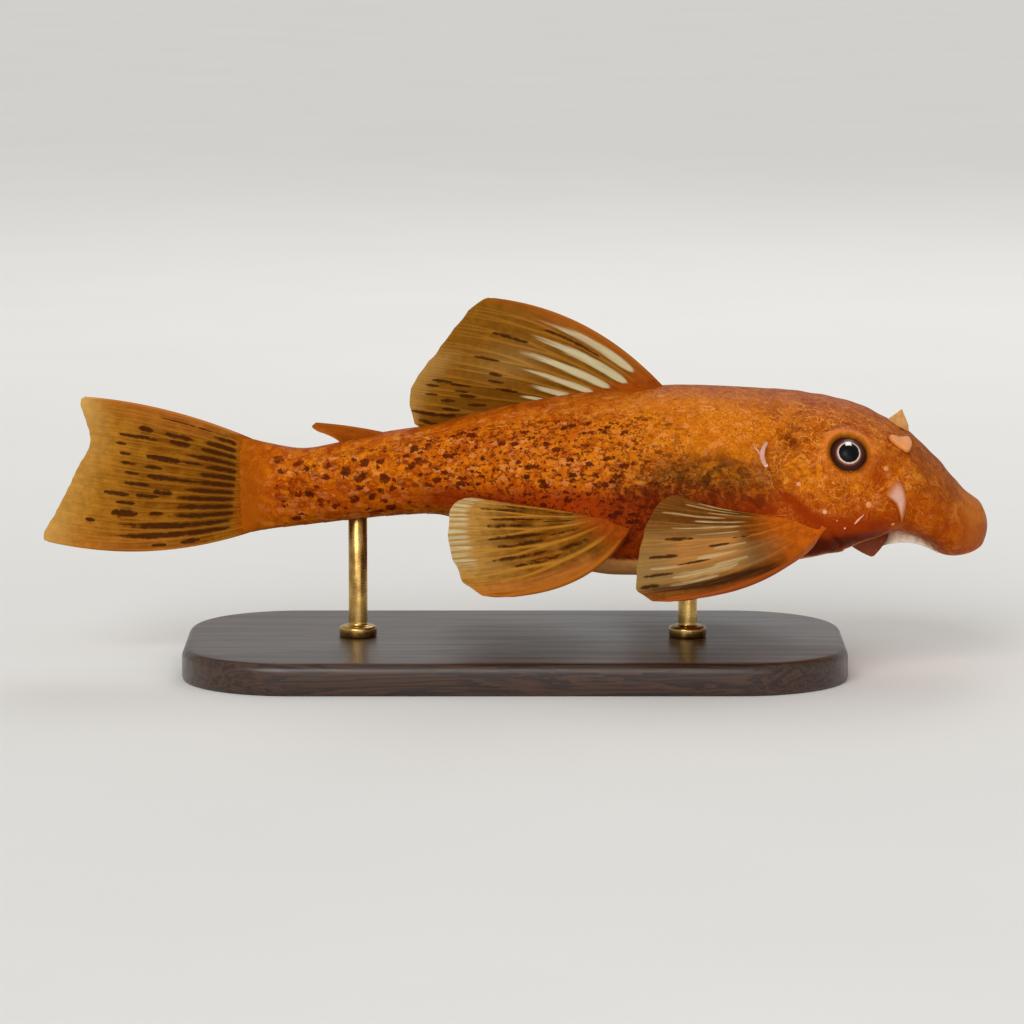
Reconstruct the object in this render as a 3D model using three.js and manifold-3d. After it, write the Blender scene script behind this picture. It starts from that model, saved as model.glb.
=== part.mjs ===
// A life-size bristlenose pleco, swimming with its fins spread, held by a plain display stand.
// Millimetres. X runs towards the snout, Y to the fish's left, Z up; the origin is the middle of the
// underside of the stand's base.
import * as THREE from "three";
import { mergeVertices } from "three/addons/utils/BufferGeometryUtils.js";
import Module from "manifold-3d";

const wasm = await Module();
wasm.setup();

// Driving sizes
const SNOUT_X = 60; // tip of the snout; half of the fish's total length
const TAIL_END_X = -34.5; // where the body ends and the tail fin begins
const GAP = 0.3; // clear space kept between touching nodes
const BASE = { length: 84, width: 44, height: 4, corner: 14, edge: 0.6 };
const CLEARANCE = 8.3; // from the top of the base to the lowest point of the belly
const BELLY_LOW = 7.7; // depth of the belly below the fish's own zero level
const FISH_Z = BASE.height + CLEARANCE + BELLY_LOW;
const ROD = { radius: 1.2, collar: 2.4, collarHeight: 1.4, collarEdge: 0.4, sides: 16 };
const ROD_FRONT_X = 22;
const ROD_REAR_X = -20;

// The body's cross sections, from the snout back: place, top, bottom, half width, height of the widest
// line as a share of the depth, and how square the lower half is (2 is an ellipse).
const STATIONS = [
  [SNOUT_X, -1.5, -1.5, 0, 0.5, 2.2],
  [59.7, 0.1, -3.0, 3.2, 0.49, 2.2],
  [59.1, 1.3, -4.2, 5.4, 0.48, 2.2],
  [57.8, 2.3, -4.8, 7.6, 0.45, 2.4],
  [55.9, 4.2, -5.2, 9.4, 0.42, 2.6],
  [54.0, 6.5, -4.8, 10.7, 0.4, 2.7],
  [52.1, 8.3, -3.3, 11.6, 0.38, 2.8],
  [50.2, 10.1, -2.3, 12.2, 0.36, 3.0],
  [48.3, 11.3, -1.7, 12.7, 0.35, 3.0],
  [45.1, 13.1, -2.6, 13.4, 0.35, 3.0],
  [40.7, 14.6, -4.2, 14.1, 0.34, 3.0],
  [35.0, 15.5, -5.4, 14.6, 0.35, 3.0],
  [29.0, 15.9, -6.6, 14.5, 0.37, 3.0],
  [21.0, 16.2, -7.6, 13.2, 0.39, 2.9],
  [13.0, 15.7, -7.6, 12.1, 0.43, 2.8],
  [7.6, 15.2, -6.9, 11.1, 0.45, 2.6],
  [1.3, 14.1, -4.3, 9.3, 0.47, 2.45],
  [-5.1, 12.7, -1.5, 7.3, 0.48, 2.35],
  [-10.8, 11.1, -0.1, 6.0, 0.5, 2.3],
  [-16.0, 10.3, -0.4, 5.2, 0.5, 2.3],
  [-22.2, 8.9, -1.1, 4.3, 0.5, 2.25],
  [-27.0, 8.1, -1.7, 3.5, 0.5, 2.2],
  [TAIL_END_X, 9.3, -2.7, 2.1, 0.5, 2.2],
];
const UPPER_POWER = 2.1; // how square the upper half of every section is

// The tail swings gently to the fish's left.
const SWAY_START_X = -5;
const SWAY = 0.00132;
const sway = (x) => (x < SWAY_START_X ? SWAY * (SWAY_START_X - x) ** 2 : 0);

// Angles round a section from the middle of the back, in degrees: the borders and the crests of the
// five rows of bony plates on each side, then the bare belly.
const ROW_BORDERS = [0, 28, 58, 90, 115, 140];
const BELLY_ANGLES = [152, 166, 180, 194, 208];

// Bony plates along the trunk and tail
const PLATES = {
  columns: 24,
  front: 31, // X of the first column's front edge
  step: 0.3, // length of the little slope down to the next plate
  lift: 0.3, // how far the rear edge stands proud
  keel: 0.14, // how far each row's crest stands above its borders
  scallop: 0.4, // how far each rear edge bows back at its crest
  chevron: 0.7, // how far the middle row lies behind the back row
  bellyFrom: -8, // behind this the underside is plated as well
};

// Solids and meshes

function solidFrom(points, faces) {
  const vertProperties = new Float32Array(points.flat());
  const make = (list) =>
    new wasm.Manifold(new wasm.Mesh({ numProp: 3, vertProperties, triVerts: new Uint32Array(list.flat()) }));
  const made = make(faces);
  return made.volume() > 0 ? made : make(faces.map(([a, b, c]) => [a, c, b]));
}

function solidOf(geometry) {
  const bare = geometry.clone();
  bare.deleteAttribute("normal");
  bare.deleteAttribute("uv");
  const merged = mergeVertices(bare, 1e-4);
  const triVerts = new Uint32Array(merged.index.array);
  const vertProperties = new Float32Array(merged.attributes.position.array);
  return new wasm.Manifold(new wasm.Mesh({ numProp: 3, vertProperties, triVerts }));
}

function geometryOf(solid) {
  const mesh = solid.getMesh();
  const points = new Float32Array(mesh.numVert * 3);
  for (let i = 0; i < mesh.numVert; i++) {
    points.set(mesh.vertProperties.subarray(i * mesh.numProp, i * mesh.numProp + 3), i * 3);
  }
  const geometry = new THREE.BufferGeometry();
  geometry.setAttribute("position", new THREE.BufferAttribute(points, 3));
  geometry.setIndex(new THREE.BufferAttribute(new Uint32Array(mesh.triVerts), 1));
  geometry.computeVertexNormals();
  return geometry;
}

const largest = (solid) => solid.decompose().sort((a, b) => b.volume() - a.volume())[0];
const union = (solids) => solids.reduce((all, one) => all.add(one));

// Rings of equal point counts, joined in turn and closed at both ends by a fan.
function loft(rings) {
  const count = rings[0].length;
  const points = rings.flat();
  const faces = [];
  for (let i = 0; i + 1 < rings.length; i++) {
    for (let j = 0; j < count; j++) {
      const next = (j + 1) % count;
      const [a, b, c, d] = [i * count + j, i * count + next, (i + 1) * count + next, (i + 1) * count + j];
      faces.push([a, b, c], [a, c, d]);
    }
  }
  for (const [start, flip] of [[0, true], [(rings.length - 1) * count, false]]) {
    const ring = points.slice(start, start + count);
    const middle = [0, 1, 2].map((k) => ring.reduce((sum, p) => sum + p[k], 0) / count);
    const hub = points.push(middle) - 1;
    for (let j = 0; j < count; j++) {
      const [a, b] = [start + j, start + ((j + 1) % count)];
      faces.push(flip ? [hub, b, a] : [hub, a, b]);
    }
  }
  return solidFrom(points, faces);
}

// A smooth curve through given values that never overshoots them.
function monotoneCurve(xs, ys) {
  const last = xs.length - 1;
  const slopes = xs.slice(1).map((x, i) => (ys[i + 1] - ys[i]) / (x - xs[i]));
  const tangents = ys.map((_, i) => {
    if (i === 0) return slopes[0];
    if (i === last) return slopes[last - 1];
    const [a, b] = [slopes[i - 1], slopes[i]];
    return a * b <= 0 ? 0 : (2 * a * b) / (a + b);
  });
  return (x) => {
    const at = Math.min(Math.max(x, xs[0]), xs[last]);
    let i = last - 1;
    while (i > 0 && xs[i] > at) i--;
    const width = xs[i + 1] - xs[i];
    const t = (at - xs[i]) / width;
    return (
      (1 + 2 * t) * (1 - t) ** 2 * ys[i] +
      t * (1 - t) ** 2 * width * tangents[i] +
      t * t * (3 - 2 * t) * ys[i + 1] +
      t * t * (t - 1) * width * tangents[i + 1]
    );
  };
}

// The body's surface

// Near the snout a section grows as the square root of its distance from the tip, which rounds it.
const fromSnout = (x) => Math.sqrt(Math.max(SNOUT_X - x, 0));
const [topAt, bottomAt, halfAt, widestAt, squareAt] = [1, 2, 3, 4, 5].map((column) => {
  const curve = monotoneCurve(STATIONS.map((row) => fromSnout(row[0])), STATIONS.map((row) => row[column]));
  return (x) => curve(fromSnout(x));
});
const levelAt = (x) => bottomAt(x) + widestAt(x) * (topAt(x) - bottomAt(x));

const power = (value, exponent) => Math.sign(value) * Math.abs(value) ** exponent;

// A point of the section at x, at an angle in degrees from the middle of the back, grown outwards.
// A positive angle goes round by the fish's right side.
function bodyPoint(x, angle, grow = 0) {
  const turn = THREE.MathUtils.degToRad(angle);
  const [sine, cosine] = [Math.sin(turn), Math.cos(turn)];
  const exponent = 2 / (cosine >= 0 ? UPPER_POWER : squareAt(x));
  const level = levelAt(x);
  const reach = cosine >= 0 ? topAt(x) + grow - level : level - bottomAt(x) + grow;
  return [
    x,
    sway(x) - power(sine, exponent) * (halfAt(x) + grow),
    level + power(cosine, exponent) * reach,
  ];
}

// The skin's half width at a height, and its outward direction there, for what sits on the head.
function skinHalf(x, z) {
  const level = levelAt(x);
  const [reach, exponent] = z >= level ? [topAt(x) - level, UPPER_POWER] : [level - bottomAt(x), squareAt(x)];
  const share = Math.min(Math.abs(z - level) / reach, 1);
  return halfAt(x) * (1 - share ** exponent) ** (1 / exponent);
}

// Whether a point lies in the body, grown by the gap and by the height of its plates.
function insideBody([x, y, z]) {
  const plated = THREE.MathUtils.clamp((PLATES.front + 2 - x) / 2, 0, 1);
  const grow = GAP + plated * (PLATES.lift + PLATES.keel);
  const level = levelAt(x);
  const above = z >= level;
  const reach = (above ? topAt(x) - level : level - bottomAt(x)) + grow;
  const exponent = above ? UPPER_POWER : squareAt(x);
  const sideways = Math.abs(y - sway(x)) / (halfAt(x) + grow);
  return sideways ** exponent + (Math.abs(z - level) / reach) ** exponent < 1;
}

const RIGHT = -1;
const LEFT = 1;

function skinPoint(x, z, side, proud = 0) {
  const out = skinNormal(x, z, side);
  return new THREE.Vector3(x, sway(x) + side * skinHalf(x, z), z).addScaledVector(out, proud);
}

function skinNormal(x, z, side) {
  const d = 0.05;
  const alongX = (skinHalf(x + d, z) - skinHalf(x - d, z)) / (2 * d);
  const alongZ = (skinHalf(x, z + d) - skinHalf(x, z - d)) / (2 * d);
  return new THREE.Vector3(-alongX, side, -alongZ).normalize();
}

// Angles of a section's points, each with its share of a crest (1) or a border (0), right side first.
function ringAngles() {
  const side = [];
  for (let i = 0; i + 1 < ROW_BORDERS.length; i++) {
    side.push({ angle: (ROW_BORDERS[i] + ROW_BORDERS[i + 1]) / 2, crest: 1, belly: false });
    side.push({ angle: ROW_BORDERS[i + 1], crest: 0, belly: false });
  }
  const belly = BELLY_ANGLES.map((angle) => ({ angle, crest: 0, belly: true }));
  const otherSide = side.map((spot) => ({ ...spot, angle: 360 - spot.angle })).reverse();
  return [{ angle: 0, crest: 0, belly: false }, ...side, ...belly, ...otherSide];
}

const RING = ringAngles();

// One ring of the body; lifted is 0 at a plate's front edge and 1 at its rear edge.
function bodyRing(x, lifted, plated, grow) {
  return RING.map(({ angle, crest, belly }) => {
    const covered = plated && (!belly || x < PLATES.bellyFrom);
    if (!covered) return bodyPoint(x, angle, grow);
    const flank = Math.abs(Math.sin(THREE.MathUtils.degToRad(angle)));
    const back = PLATES.chevron * flank + PLATES.scallop * crest * lifted;
    const raise = PLATES.lift * lifted + PLATES.keel * crest;
    return bodyPoint(Math.max(x - back, TAIL_END_X + 0.1), angle, grow + raise);
  });
}

const HEAD_RINGS = 22;
const FIRST_RING = 0.28; // square root of the first ring's distance from the tip of the snout

function bodySolid(grow = 0) {
  const rings = [];
  const headSpan = fromSnout(PLATES.front + 1);
  for (let i = 0; i < HEAD_RINGS; i++) {
    const share = i / (HEAD_RINGS - 1);
    rings.push(bodyRing(SNOUT_X - (FIRST_RING + share * (headSpan - FIRST_RING)) ** 2, 0, false, grow));
  }
  const pitch = (PLATES.front - TAIL_END_X - PLATES.chevron - PLATES.scallop) / PLATES.columns;
  for (let i = 0; i < PLATES.columns; i++) {
    const front = PLATES.front - i * pitch;
    rings.push(bodyRing(front, 0, true, grow), bodyRing(front - pitch + PLATES.step, 1, true, grow));
  }
  rings.push(bodyRing(TAIL_END_X, 0, false, grow));
  return loft(rings);
}

// Fins

// A fin is a sheet of rays from a root line to a tip line. Each ray is a ridge on both faces that splits
// in two towards its tip; the sheet between them is thinner, and the first ray is a stout spine.
function finSolid(fin) {
  const rootLine = new THREE.CatmullRomCurve3(fin.roots.map((p) => new THREE.Vector3(...p)));
  const tipLine = new THREE.CatmullRomCurve3(fin.tips.map((p) => new THREE.Vector3(...p)));
  const [bowFirst, bowLast] = [new THREE.Vector3(...fin.bow[0]), new THREE.Vector3(...fin.bow[1])];
  const spans = fin.rays - 1;
  const middle = (u, ray) => {
    const v = Math.min(Math.max(ray / spans, 0), 1);
    const notch = fin.notch * Math.sin(Math.PI * (ray - Math.floor(ray)));
    const root = rootLine.getPoint(v);
    const bow = bowFirst.clone().multiplyScalar((1 - v) ** 2).addScaledVector(bowLast, v ** 2);
    const spot = root.clone().lerp(tipLine.getPoint(v), u * (1 - notch));
    spot.addScaledVector(bow, 4 * u * (1 - u));
    const overhang = ray - v * spans;
    return overhang ? spot.addScaledVector(tangentAcross(rootLine, tipLine, u, v), overhang) : spot;
  };
  const columns = [-fin.edge, ...rayColumns(spans), spans + fin.edge * OUTER_HALF];
  const rows = Array.from({ length: fin.rows }, (_, i) => i / (fin.rows - 1));
  const [front, back] = [1, -1].map((sign) => {
    const lines = columns.map((ray) => {
      const onFace = (u) => {
        const out = sheetNormal(middle, u, ray, spans);
        const p = middle(u, ray).addScaledVector(out, sign * halfThickness(fin, u, ray, spans));
        return [p.x, p.y + (fin.median ? sway(p.x) : 0), p.z];
      };
      const start = fin.rooted ? leavesBody(onFace) : 0;
      return rows.map((share) => onFace(start + share * (1 - start)));
    });
    return rows.flatMap((_, i) => lines.map((line) => line[i]));
  });
  return sheetSolid(front, back, rows.length, columns.length);
}

const TRIM_STEPS = 200; // places tried along a fin's line
const TRIM_HALVINGS = 12; // halvings of the step in which the line leaves the body

// How far along its line from root to tip a point of a fin comes clear of the body and its plates.
function leavesBody(line) {
  const inside = (u) => insideBody(line(u));
  let last = TRIM_STEPS;
  while (last >= 0 && !inside(last / TRIM_STEPS)) last--;
  if (last < 0) return 0;
  let [low, high] = [last / TRIM_STEPS, (last + 1) / TRIM_STEPS];
  for (let i = 0; i < TRIM_HALVINGS; i++) {
    const at = (low + high) / 2;
    if (inside(at)) low = at;
    else high = at;
  }
  return high;
}

const COLUMNS_PER_RAY = 4;
// Where along its length a ray branches, over what share of it, and how high the ridge stays at the ray's
// middle, beside it and at the two branches, as shares of its full height
const BRANCH = { from: 0.45, over: 0.25, middle: 0.35, shoulder: 0.3, prong: 0.9 };
const OUTER_HALF = 0.5; // the last ray's outer edge is this share of the first ray's

function rayColumns(spans) {
  return Array.from({ length: spans * COLUMNS_PER_RAY + 1 }, (_, i) => i / COLUMNS_PER_RAY);
}

function tangentAcross(rootLine, tipLine, u, v) {
  const d = v < 0.5 ? 0.01 : -0.01;
  const across = (at) => rootLine.getPoint(at).lerp(tipLine.getPoint(at), u);
  return across(v + d).sub(across(v)).multiplyScalar(Math.sign(d)).normalize();
}

function sheetNormal(middle, u, ray, spans) {
  const d = 0.01;
  const [u0, u1] = [Math.max(u - d, 0), Math.min(u + d, 1)];
  const at = Math.min(Math.max(ray, 2 * d), spans - 2 * d);
  const along = middle(u1, at).sub(middle(u0, at));
  const across = middle(u, at + d).sub(middle(u, at - d));
  return along.cross(across).normalize();
}

// Half of the sheet's thickness: the web, the ray's ridge and the fleshy root.
function halfThickness(fin, u, ray, spans) {
  const nearest = Math.min(Math.max(Math.round(ray), 0), spans);
  const away = Math.abs(ray - nearest) * COLUMNS_PER_RAY;
  const taper = 1 - fin.taper * u;
  if (ray < 0 || ray > spans) return fin.web / 2 * taper;
  const spine = nearest === 0 ? fin.spine : 1;
  const split = nearest === 0 ? 0 : THREE.MathUtils.smoothstep(u, BRANCH.from, BRANCH.from + BRANCH.over);
  const shaft = [1, BRANCH.shoulder, 0][Math.round(away)];
  const fork = [BRANCH.middle, BRANCH.prong, 0][Math.round(away)];
  const ridge = fin.ridge * spine * THREE.MathUtils.lerp(shaft, fork, split);
  const flesh = fin.flesh * Math.max(1 - u / fin.fleshTo, 0) ** 1.5;
  return (fin.web / 2 + ridge) * taper + flesh;
}

// Two faces of a sheet with the same diagonals, joined round the rim.
function sheetSolid(front, back, rows, columns) {
  const points = [...front, ...back];
  const shift = front.length;
  const faces = [];
  for (let i = 0; i + 1 < rows; i++) {
    for (let j = 0; j + 1 < columns; j++) {
      const [a, d] = [i * columns + j, (i + 1) * columns + j];
      const [b, c] = [a + 1, d + 1];
      faces.push([a, b, c], [a, c, d], [a + shift, c + shift, b + shift], [a + shift, d + shift, c + shift]);
    }
  }
  const rim = [];
  for (let j = 0; j + 1 < columns; j++) rim.push(j);
  for (let i = 0; i + 1 < rows; i++) rim.push(i * columns + columns - 1);
  for (let j = columns - 1; j > 0; j--) rim.push((rows - 1) * columns + j);
  for (let i = rows - 1; i > 0; i--) rim.push(i * columns);
  rim.forEach((a, k) => {
    const b = rim[(k + 1) % rim.length];
    faces.push([b, a, a + shift], [b, a + shift, b + shift]);
  });
  return solidFrom(points, faces);
}

const WEB = 0.5; // thickness of the thin sheet between rays

const DORSAL = {
  median: true, rooted: true, rays: 9, rows: 7, edge: 0.14, notch: 0.014,
  web: WEB, ridge: 0.24, spine: 1.7, taper: 0.4, flesh: 0.6, fleshTo: 0.25,
  roots: [
    [19.4, 0, 15.2], [15.9, 0, 14.85], [12.1, 0, 14.45], [7.9, 0, 13.95], [3.6, 0, 13.3], [-9.6, 0, 10.2],
  ],
  tips: [
    [-3.2, 0, 27.4], [-6.9, 0, 24.3], [-9.8, 0, 20.7], [-12.0, 0, 17.9], [-13.4, 0, 15.0],
    [-12.9, 0, 11.4],
  ],
  bow: [[0.9, 0, 2.3], [0, 0, -0.2]],
};

const CAUDAL = {
  median: true, rooted: false, rays: 16, rows: 7, edge: 0.2, notch: 0.01,
  web: WEB, ridge: 0.2, spine: 1.6, taper: 0.4, flesh: 0.7, fleshTo: 0.3,
  roots: [[TAIL_END_X - GAP, 0, 9.1], [TAIL_END_X - GAP, 0, 3.0], [TAIL_END_X - GAP, 0, -2.6]],
  tips: [
    [-55.2, 0, 14.2], [-54.5, 0, 11.2], [-54.2, 0, 8.4], [-55.7, 0, 5.5], [-57.1, 0, 2.6], [-59.0, 0, -1.0],
    [-60.2, 0, -4.4],
  ],
  bow: [[0, 0, 1.0], [0, 0, -1.9]],
};

const ANAL = {
  median: true, rooted: true, rays: 5, rows: 5, edge: 0.2, notch: 0.014,
  web: WEB, ridge: 0.2, spine: 1.4, taper: 0.4, flesh: 0.3, fleshTo: 0.3,
  roots: [[1.0, 0, -2.6], [-2.8, 0, -1.2]],
  tips: [[-5.0, 0, -6.3], [-6.9, 0, -5.0], [-7.6, 0, -2.9]],
  bow: [[0.3, 0, -0.3], [0, 0, 0]],
};

// The adipose fin is a low spine that points back, with a flap of skin below it that ends on the back.
const ADIPOSE_FRONT = -17.4;
const ADIPOSE_REAR = -22.9;
const aboveBack = (x, height) => [x, 0, topAt(x) + PLATES.lift + GAP + height];
const ADIPOSE = {
  median: true, rooted: false, rays: 2, rows: 6, edge: 0.14, notch: 0,
  web: WEB, ridge: 0.2, spine: 1.2, taper: 0.45, flesh: 0.2, fleshTo: 0.3,
  roots: [aboveBack(ADIPOSE_FRONT, 0.42), aboveBack(ADIPOSE_FRONT, 0.03)],
  tips: [[-25.4, 0, 10.75], aboveBack(ADIPOSE_REAR, 0.03)],
  bow: [[0, 0, 0.1], [0, 0, 0]],
};

// The paired fins are given for the fish's right side and mirrored for its left.
const PECTORAL = {
  median: false, rooted: true, rays: 7, rows: 7, edge: 0.16, notch: 0.014,
  web: WEB, ridge: 0.3, spine: 1.9, taper: 0.4, flesh: 1.1, fleshTo: 0.35,
  roots: [[38.6, -12.6, -0.6], [36.6, -13.2, 0.6], [34.6, -13.5, 1.5]],
  tips: [
    [17.2, -30.0, -6.7], [15.4, -28.5, -5.0], [14.9, -26.0, -3.3], [15.4, -22.5, -1.2], [16.1, -19.0, 0.8],
    [17.4, -16.6, 2.9], [18.6, -15.3, 4.5],
  ],
  bow: [[1.6, -2.7, -1.5], [0, -0.5, -0.7]],
};

const PELVIC = {
  median: false, rooted: true, rays: 6, rows: 7, edge: 0.16, notch: 0.014,
  web: WEB, ridge: 0.28, spine: 1.6, taper: 0.4, flesh: 0.7, fleshTo: 0.3,
  roots: [[14.6, -11.2, -0.4], [12.0, -11.1, 0.5], [10.8, -10.9, 0.9]],
  tips: [
    [-3.8, -22.0, -7.2], [-6.1, -20.5, -5.9], [-7.4, -18.0, -4.2], [-8.2, -15.0, -2.3], [-8.4, -12.0, -0.1],
    [-8.1, -10.2, 1.9], [-6.9, -9.0, 3.3],
  ],
  bow: [[1.7, -1.6, -2.2], [0, -0.5, 0]],
};

const mirrored = (solid) => solid.mirror([0, 1, 0]);

// What the head carries

const EYE = { x: 41.6, z: 9.0, radius: 2.6, bulge: 1.2 };
const ORBIT = { radius: 2.75, thickness: 0.55, sunk: 0.1 };

function eyeCentre(side) {
  return skinPoint(EYE.x, EYE.z, side, EYE.bulge - EYE.radius);
}

function ball(centre, radius, around = 18, down = 12) {
  const geometry = new THREE.SphereGeometry(radius, around, down);
  return solidOf(geometry.translate(centre.x, centre.y, centre.z));
}

const Z_AXIS = new THREE.Vector3(0, 0, 1);
const Y_AXIS = new THREE.Vector3(0, 1, 0);

function orbitRim(side) {
  const geometry = new THREE.TorusGeometry(ORBIT.radius, ORBIT.thickness, 6, 20);
  geometry.applyQuaternion(new THREE.Quaternion().setFromUnitVectors(Z_AXIS, skinNormal(EYE.x, EYE.z, side)));
  const centre = skinPoint(EYE.x, EYE.z, side, -ORBIT.sunk);
  return solidOf(geometry.translate(centre.x, centre.y, centre.z));
}

const FEELER = { rootRadius: 0.5, tipRadius: 0.12, sides: 8 }; // for a width of 1

// A tapering feeler or flap, flattened, from its root to its tip.
function feeler(root, tip, width, thickness, flatAxis) {
  const along = tip.clone().sub(root);
  const length = along.length();
  const geometry = new THREE.CylinderGeometry(FEELER.tipRadius, FEELER.rootRadius, 1, FEELER.sides, 2);
  geometry.translate(0, 0.5, 0);
  const up = along.clone().normalize();
  const thin = flatAxis.clone().addScaledVector(up, -flatAxis.dot(up)).normalize();
  const wide = new THREE.Vector3().crossVectors(up, thin);
  const place = new THREE.Matrix4().makeBasis(
    wide.multiplyScalar(width),
    up.multiplyScalar(length),
    thin.multiplyScalar(thickness),
  );
  place.setPosition(root);
  return solidOf(geometry.applyMatrix4(place));
}

const NOSTRIL = { x: 50.1, z: 9.6, radius: 0.7 };
const NOSE_FLAP = { x: 48.9, z: 10.0, sunk: 0.5, width: 3.2, thickness: 1.2 };
const ERECT_FLAP = new THREE.Vector3(0.5, -0.2, 3.1); // from its root to its tip
const FOLDED_FLAP = { forward: 1.7, down: 2.0, proud: 0.9 };
const TENTACLE = {
  x: 47.6, top: 5.8, bottom: 0.8, forward: 0.7, sunk: 0.3, proud: 0.8, width: 2.5, thickness: 1.4,
};
const CHEEK_SPINE = { x: 32.6, z: 7.6, back: 0.9, rise: 2.1, sunk: 0.5, proud: 0.8, width: 0.9 };

// Small warts on the face: place, height and radius
const WARTS = [
  [44.0, 2.7, 0.5], [46.9, 0.4, 0.45], [38.7, 2.1, 0.5], [35.3, 5.4, 0.45], [46.3, 6.4, 0.4],
  [50.4, 5.4, 0.35], [41.8, 5.4, 0.4], [43.9, 5.9, 0.35],
];

const WART_PROUD = 0.1;

// The left flap stands up behind its nostril, and the right one lies folded down over the cheek.
function noseFlap(side) {
  const { forward, down, proud } = FOLDED_FLAP;
  const root = skinPoint(NOSE_FLAP.x, NOSE_FLAP.z, side, -NOSE_FLAP.sunk);
  const tip =
    side === LEFT
      ? root.clone().add(ERECT_FLAP)
      : skinPoint(NOSE_FLAP.x + forward, NOSE_FLAP.z - down, side, proud);
  return feeler(root, tip, NOSE_FLAP.width, NOSE_FLAP.thickness, skinNormal(NOSE_FLAP.x, NOSE_FLAP.z, side));
}

function faceDetails(side) {
  const tentacle = feeler(
    skinPoint(TENTACLE.x, TENTACLE.top, side, -TENTACLE.sunk),
    skinPoint(TENTACLE.x + TENTACLE.forward, TENTACLE.bottom, side, TENTACLE.proud),
    TENTACLE.width, TENTACLE.thickness, Y_AXIS,
  );
  const spine = feeler(
    skinPoint(CHEEK_SPINE.x, CHEEK_SPINE.z, side, -CHEEK_SPINE.sunk),
    skinPoint(CHEEK_SPINE.x - CHEEK_SPINE.back, CHEEK_SPINE.z + CHEEK_SPINE.rise, side, CHEEK_SPINE.proud),
    CHEEK_SPINE.width, CHEEK_SPINE.width, Y_AXIS,
  );
  const warts = WARTS.map(([x, z, radius]) => {
    const at = skinPoint(x, z, side, WART_PROUD);
    return solidOf(new THREE.IcosahedronGeometry(radius, 0).translate(at.x, at.y, at.z));
  });
  return union([orbitRim(side), noseFlap(side), tentacle, spine, ...warts]);
}

// The sucker mouth under the snout: a soft oval disc of lips round the mouth, with a barbel at each
// corner. Its rim arches up at the sides, as the snout's underside does, and its back is sunk in the head.
const MOUTH = { x: 49.0, half: 5.0, halfWidth: 7.0, front: -5.3, middle: -2.9, rear: -5.1, points: 28 };
const BARBEL = { x: 47.0, y: 6.2, z: -2.5, back: 2.6, out: 1.8, down: 1.5, width: 1.2 };

// Share of the disc's radius, and height above its rim, from the throat out over the rim and round the back
const LIP_PROFILE = [
  [0.08, 1.1], [0.26, 0.95], [0.32, 0.45], [0.45, 0.5], [0.72, 0.4], [0.9, 0.02], [0.97, 0], [1, 0.25],
  [0.98, 0.8], [0.85, 1.7], [0.08, 1.9],
];
const POCKET_PROFILE = [[0.08, -1.5], [1, -1.5], [1, 0.8], [0.87, 1.9], [0.08, 2.1]];
const BACK_FROM = 1; // heights above this belong to the disc's back

function discSolid(profile, grow) {
  const rings = profile.map(([share, height]) =>
    Array.from({ length: MOUTH.points }, (_, i) => {
      const angle = (2 * Math.PI * i) / MOUTH.points;
      const [cosine, sine] = [Math.cos(angle), Math.sin(angle)];
      const end = cosine > 0 ? MOUTH.front : MOUTH.rear;
      const rim = MOUTH.middle + (end - MOUTH.middle) * (cosine * share) ** 2;
      const [x, y] = [(MOUTH.half + grow) * share * cosine, (MOUTH.halfWidth + grow) * share * sine];
      return [MOUTH.x + x, y, rim + height + (height > BACK_FROM ? grow : 0)];
    }),
  );
  return loft(rings);
}

function barbel(side) {
  const root = new THREE.Vector3(BARBEL.x, side * BARBEL.y, BARBEL.z);
  const tip = root.clone().add(new THREE.Vector3(-BARBEL.back, side * BARBEL.out, -BARBEL.down));
  return feeler(root, tip, BARBEL.width, BARBEL.width, Z_AXIS);
}

function mouthSolid() {
  const barbels = union([RIGHT, LEFT].map(barbel)).subtract(bodySolid(GAP));
  return largest(union([discSolid(LIP_PROFILE, 0), barbels]));
}

// Parting the body into nodes

// The line of the gill opening, from above the nape down and forward to the throat: x and z
const [CUT_LOW, CUT_HIGH, CUT_REACH] = [-20, 30, 100]; // cutting prisms run well past the body
const GILL_LINE = [
  [27.6, CUT_HIGH], [30.5, 11.6], [32.1, 6.5], [34.9, 2.5], [38.7, 0.0], [40.6, -2.3], [41.0, CUT_LOW],
];
const GILL_GAP = [GAP * 0.5, GAP * 0.35]; // half of the gap there, along X and Z
const TAIL_X = -11.3; // where the trunk ends and the tail begins, behind the dorsal fin

function prism(outline, halfDepth) {
  const shape = new THREE.Shape(outline.map(([x, z]) => new THREE.Vector2(x, z)));
  const geometry = new THREE.ExtrudeGeometry(shape, { depth: 2 * halfDepth, bevelEnabled: false });
  return solidOf(geometry.rotateX(Math.PI / 2).translate(0, halfDepth, 0));
}

function bodyPieces(body) {
  const [dx, dz] = GILL_GAP;
  const gill = (sign) => GILL_LINE.map(([x, z]) => [x + sign * dx, z + sign * dz]);
  const [rear, front] = [TAIL_X - GAP / 2, TAIL_X + GAP / 2];
  const outlines = [
    [...gill(1), [CUT_REACH, CUT_LOW], [CUT_REACH, CUT_HIGH]],
    [...gill(-1), [front, CUT_LOW], [front, CUT_HIGH]],
    [[rear, CUT_HIGH], [rear, CUT_LOW], [-CUT_REACH, CUT_LOW], [-CUT_REACH, CUT_HIGH]],
  ];
  return outlines.map((outline) => largest(body.intersect(prism(outline, CUT_REACH))));
}

// The stand

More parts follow.
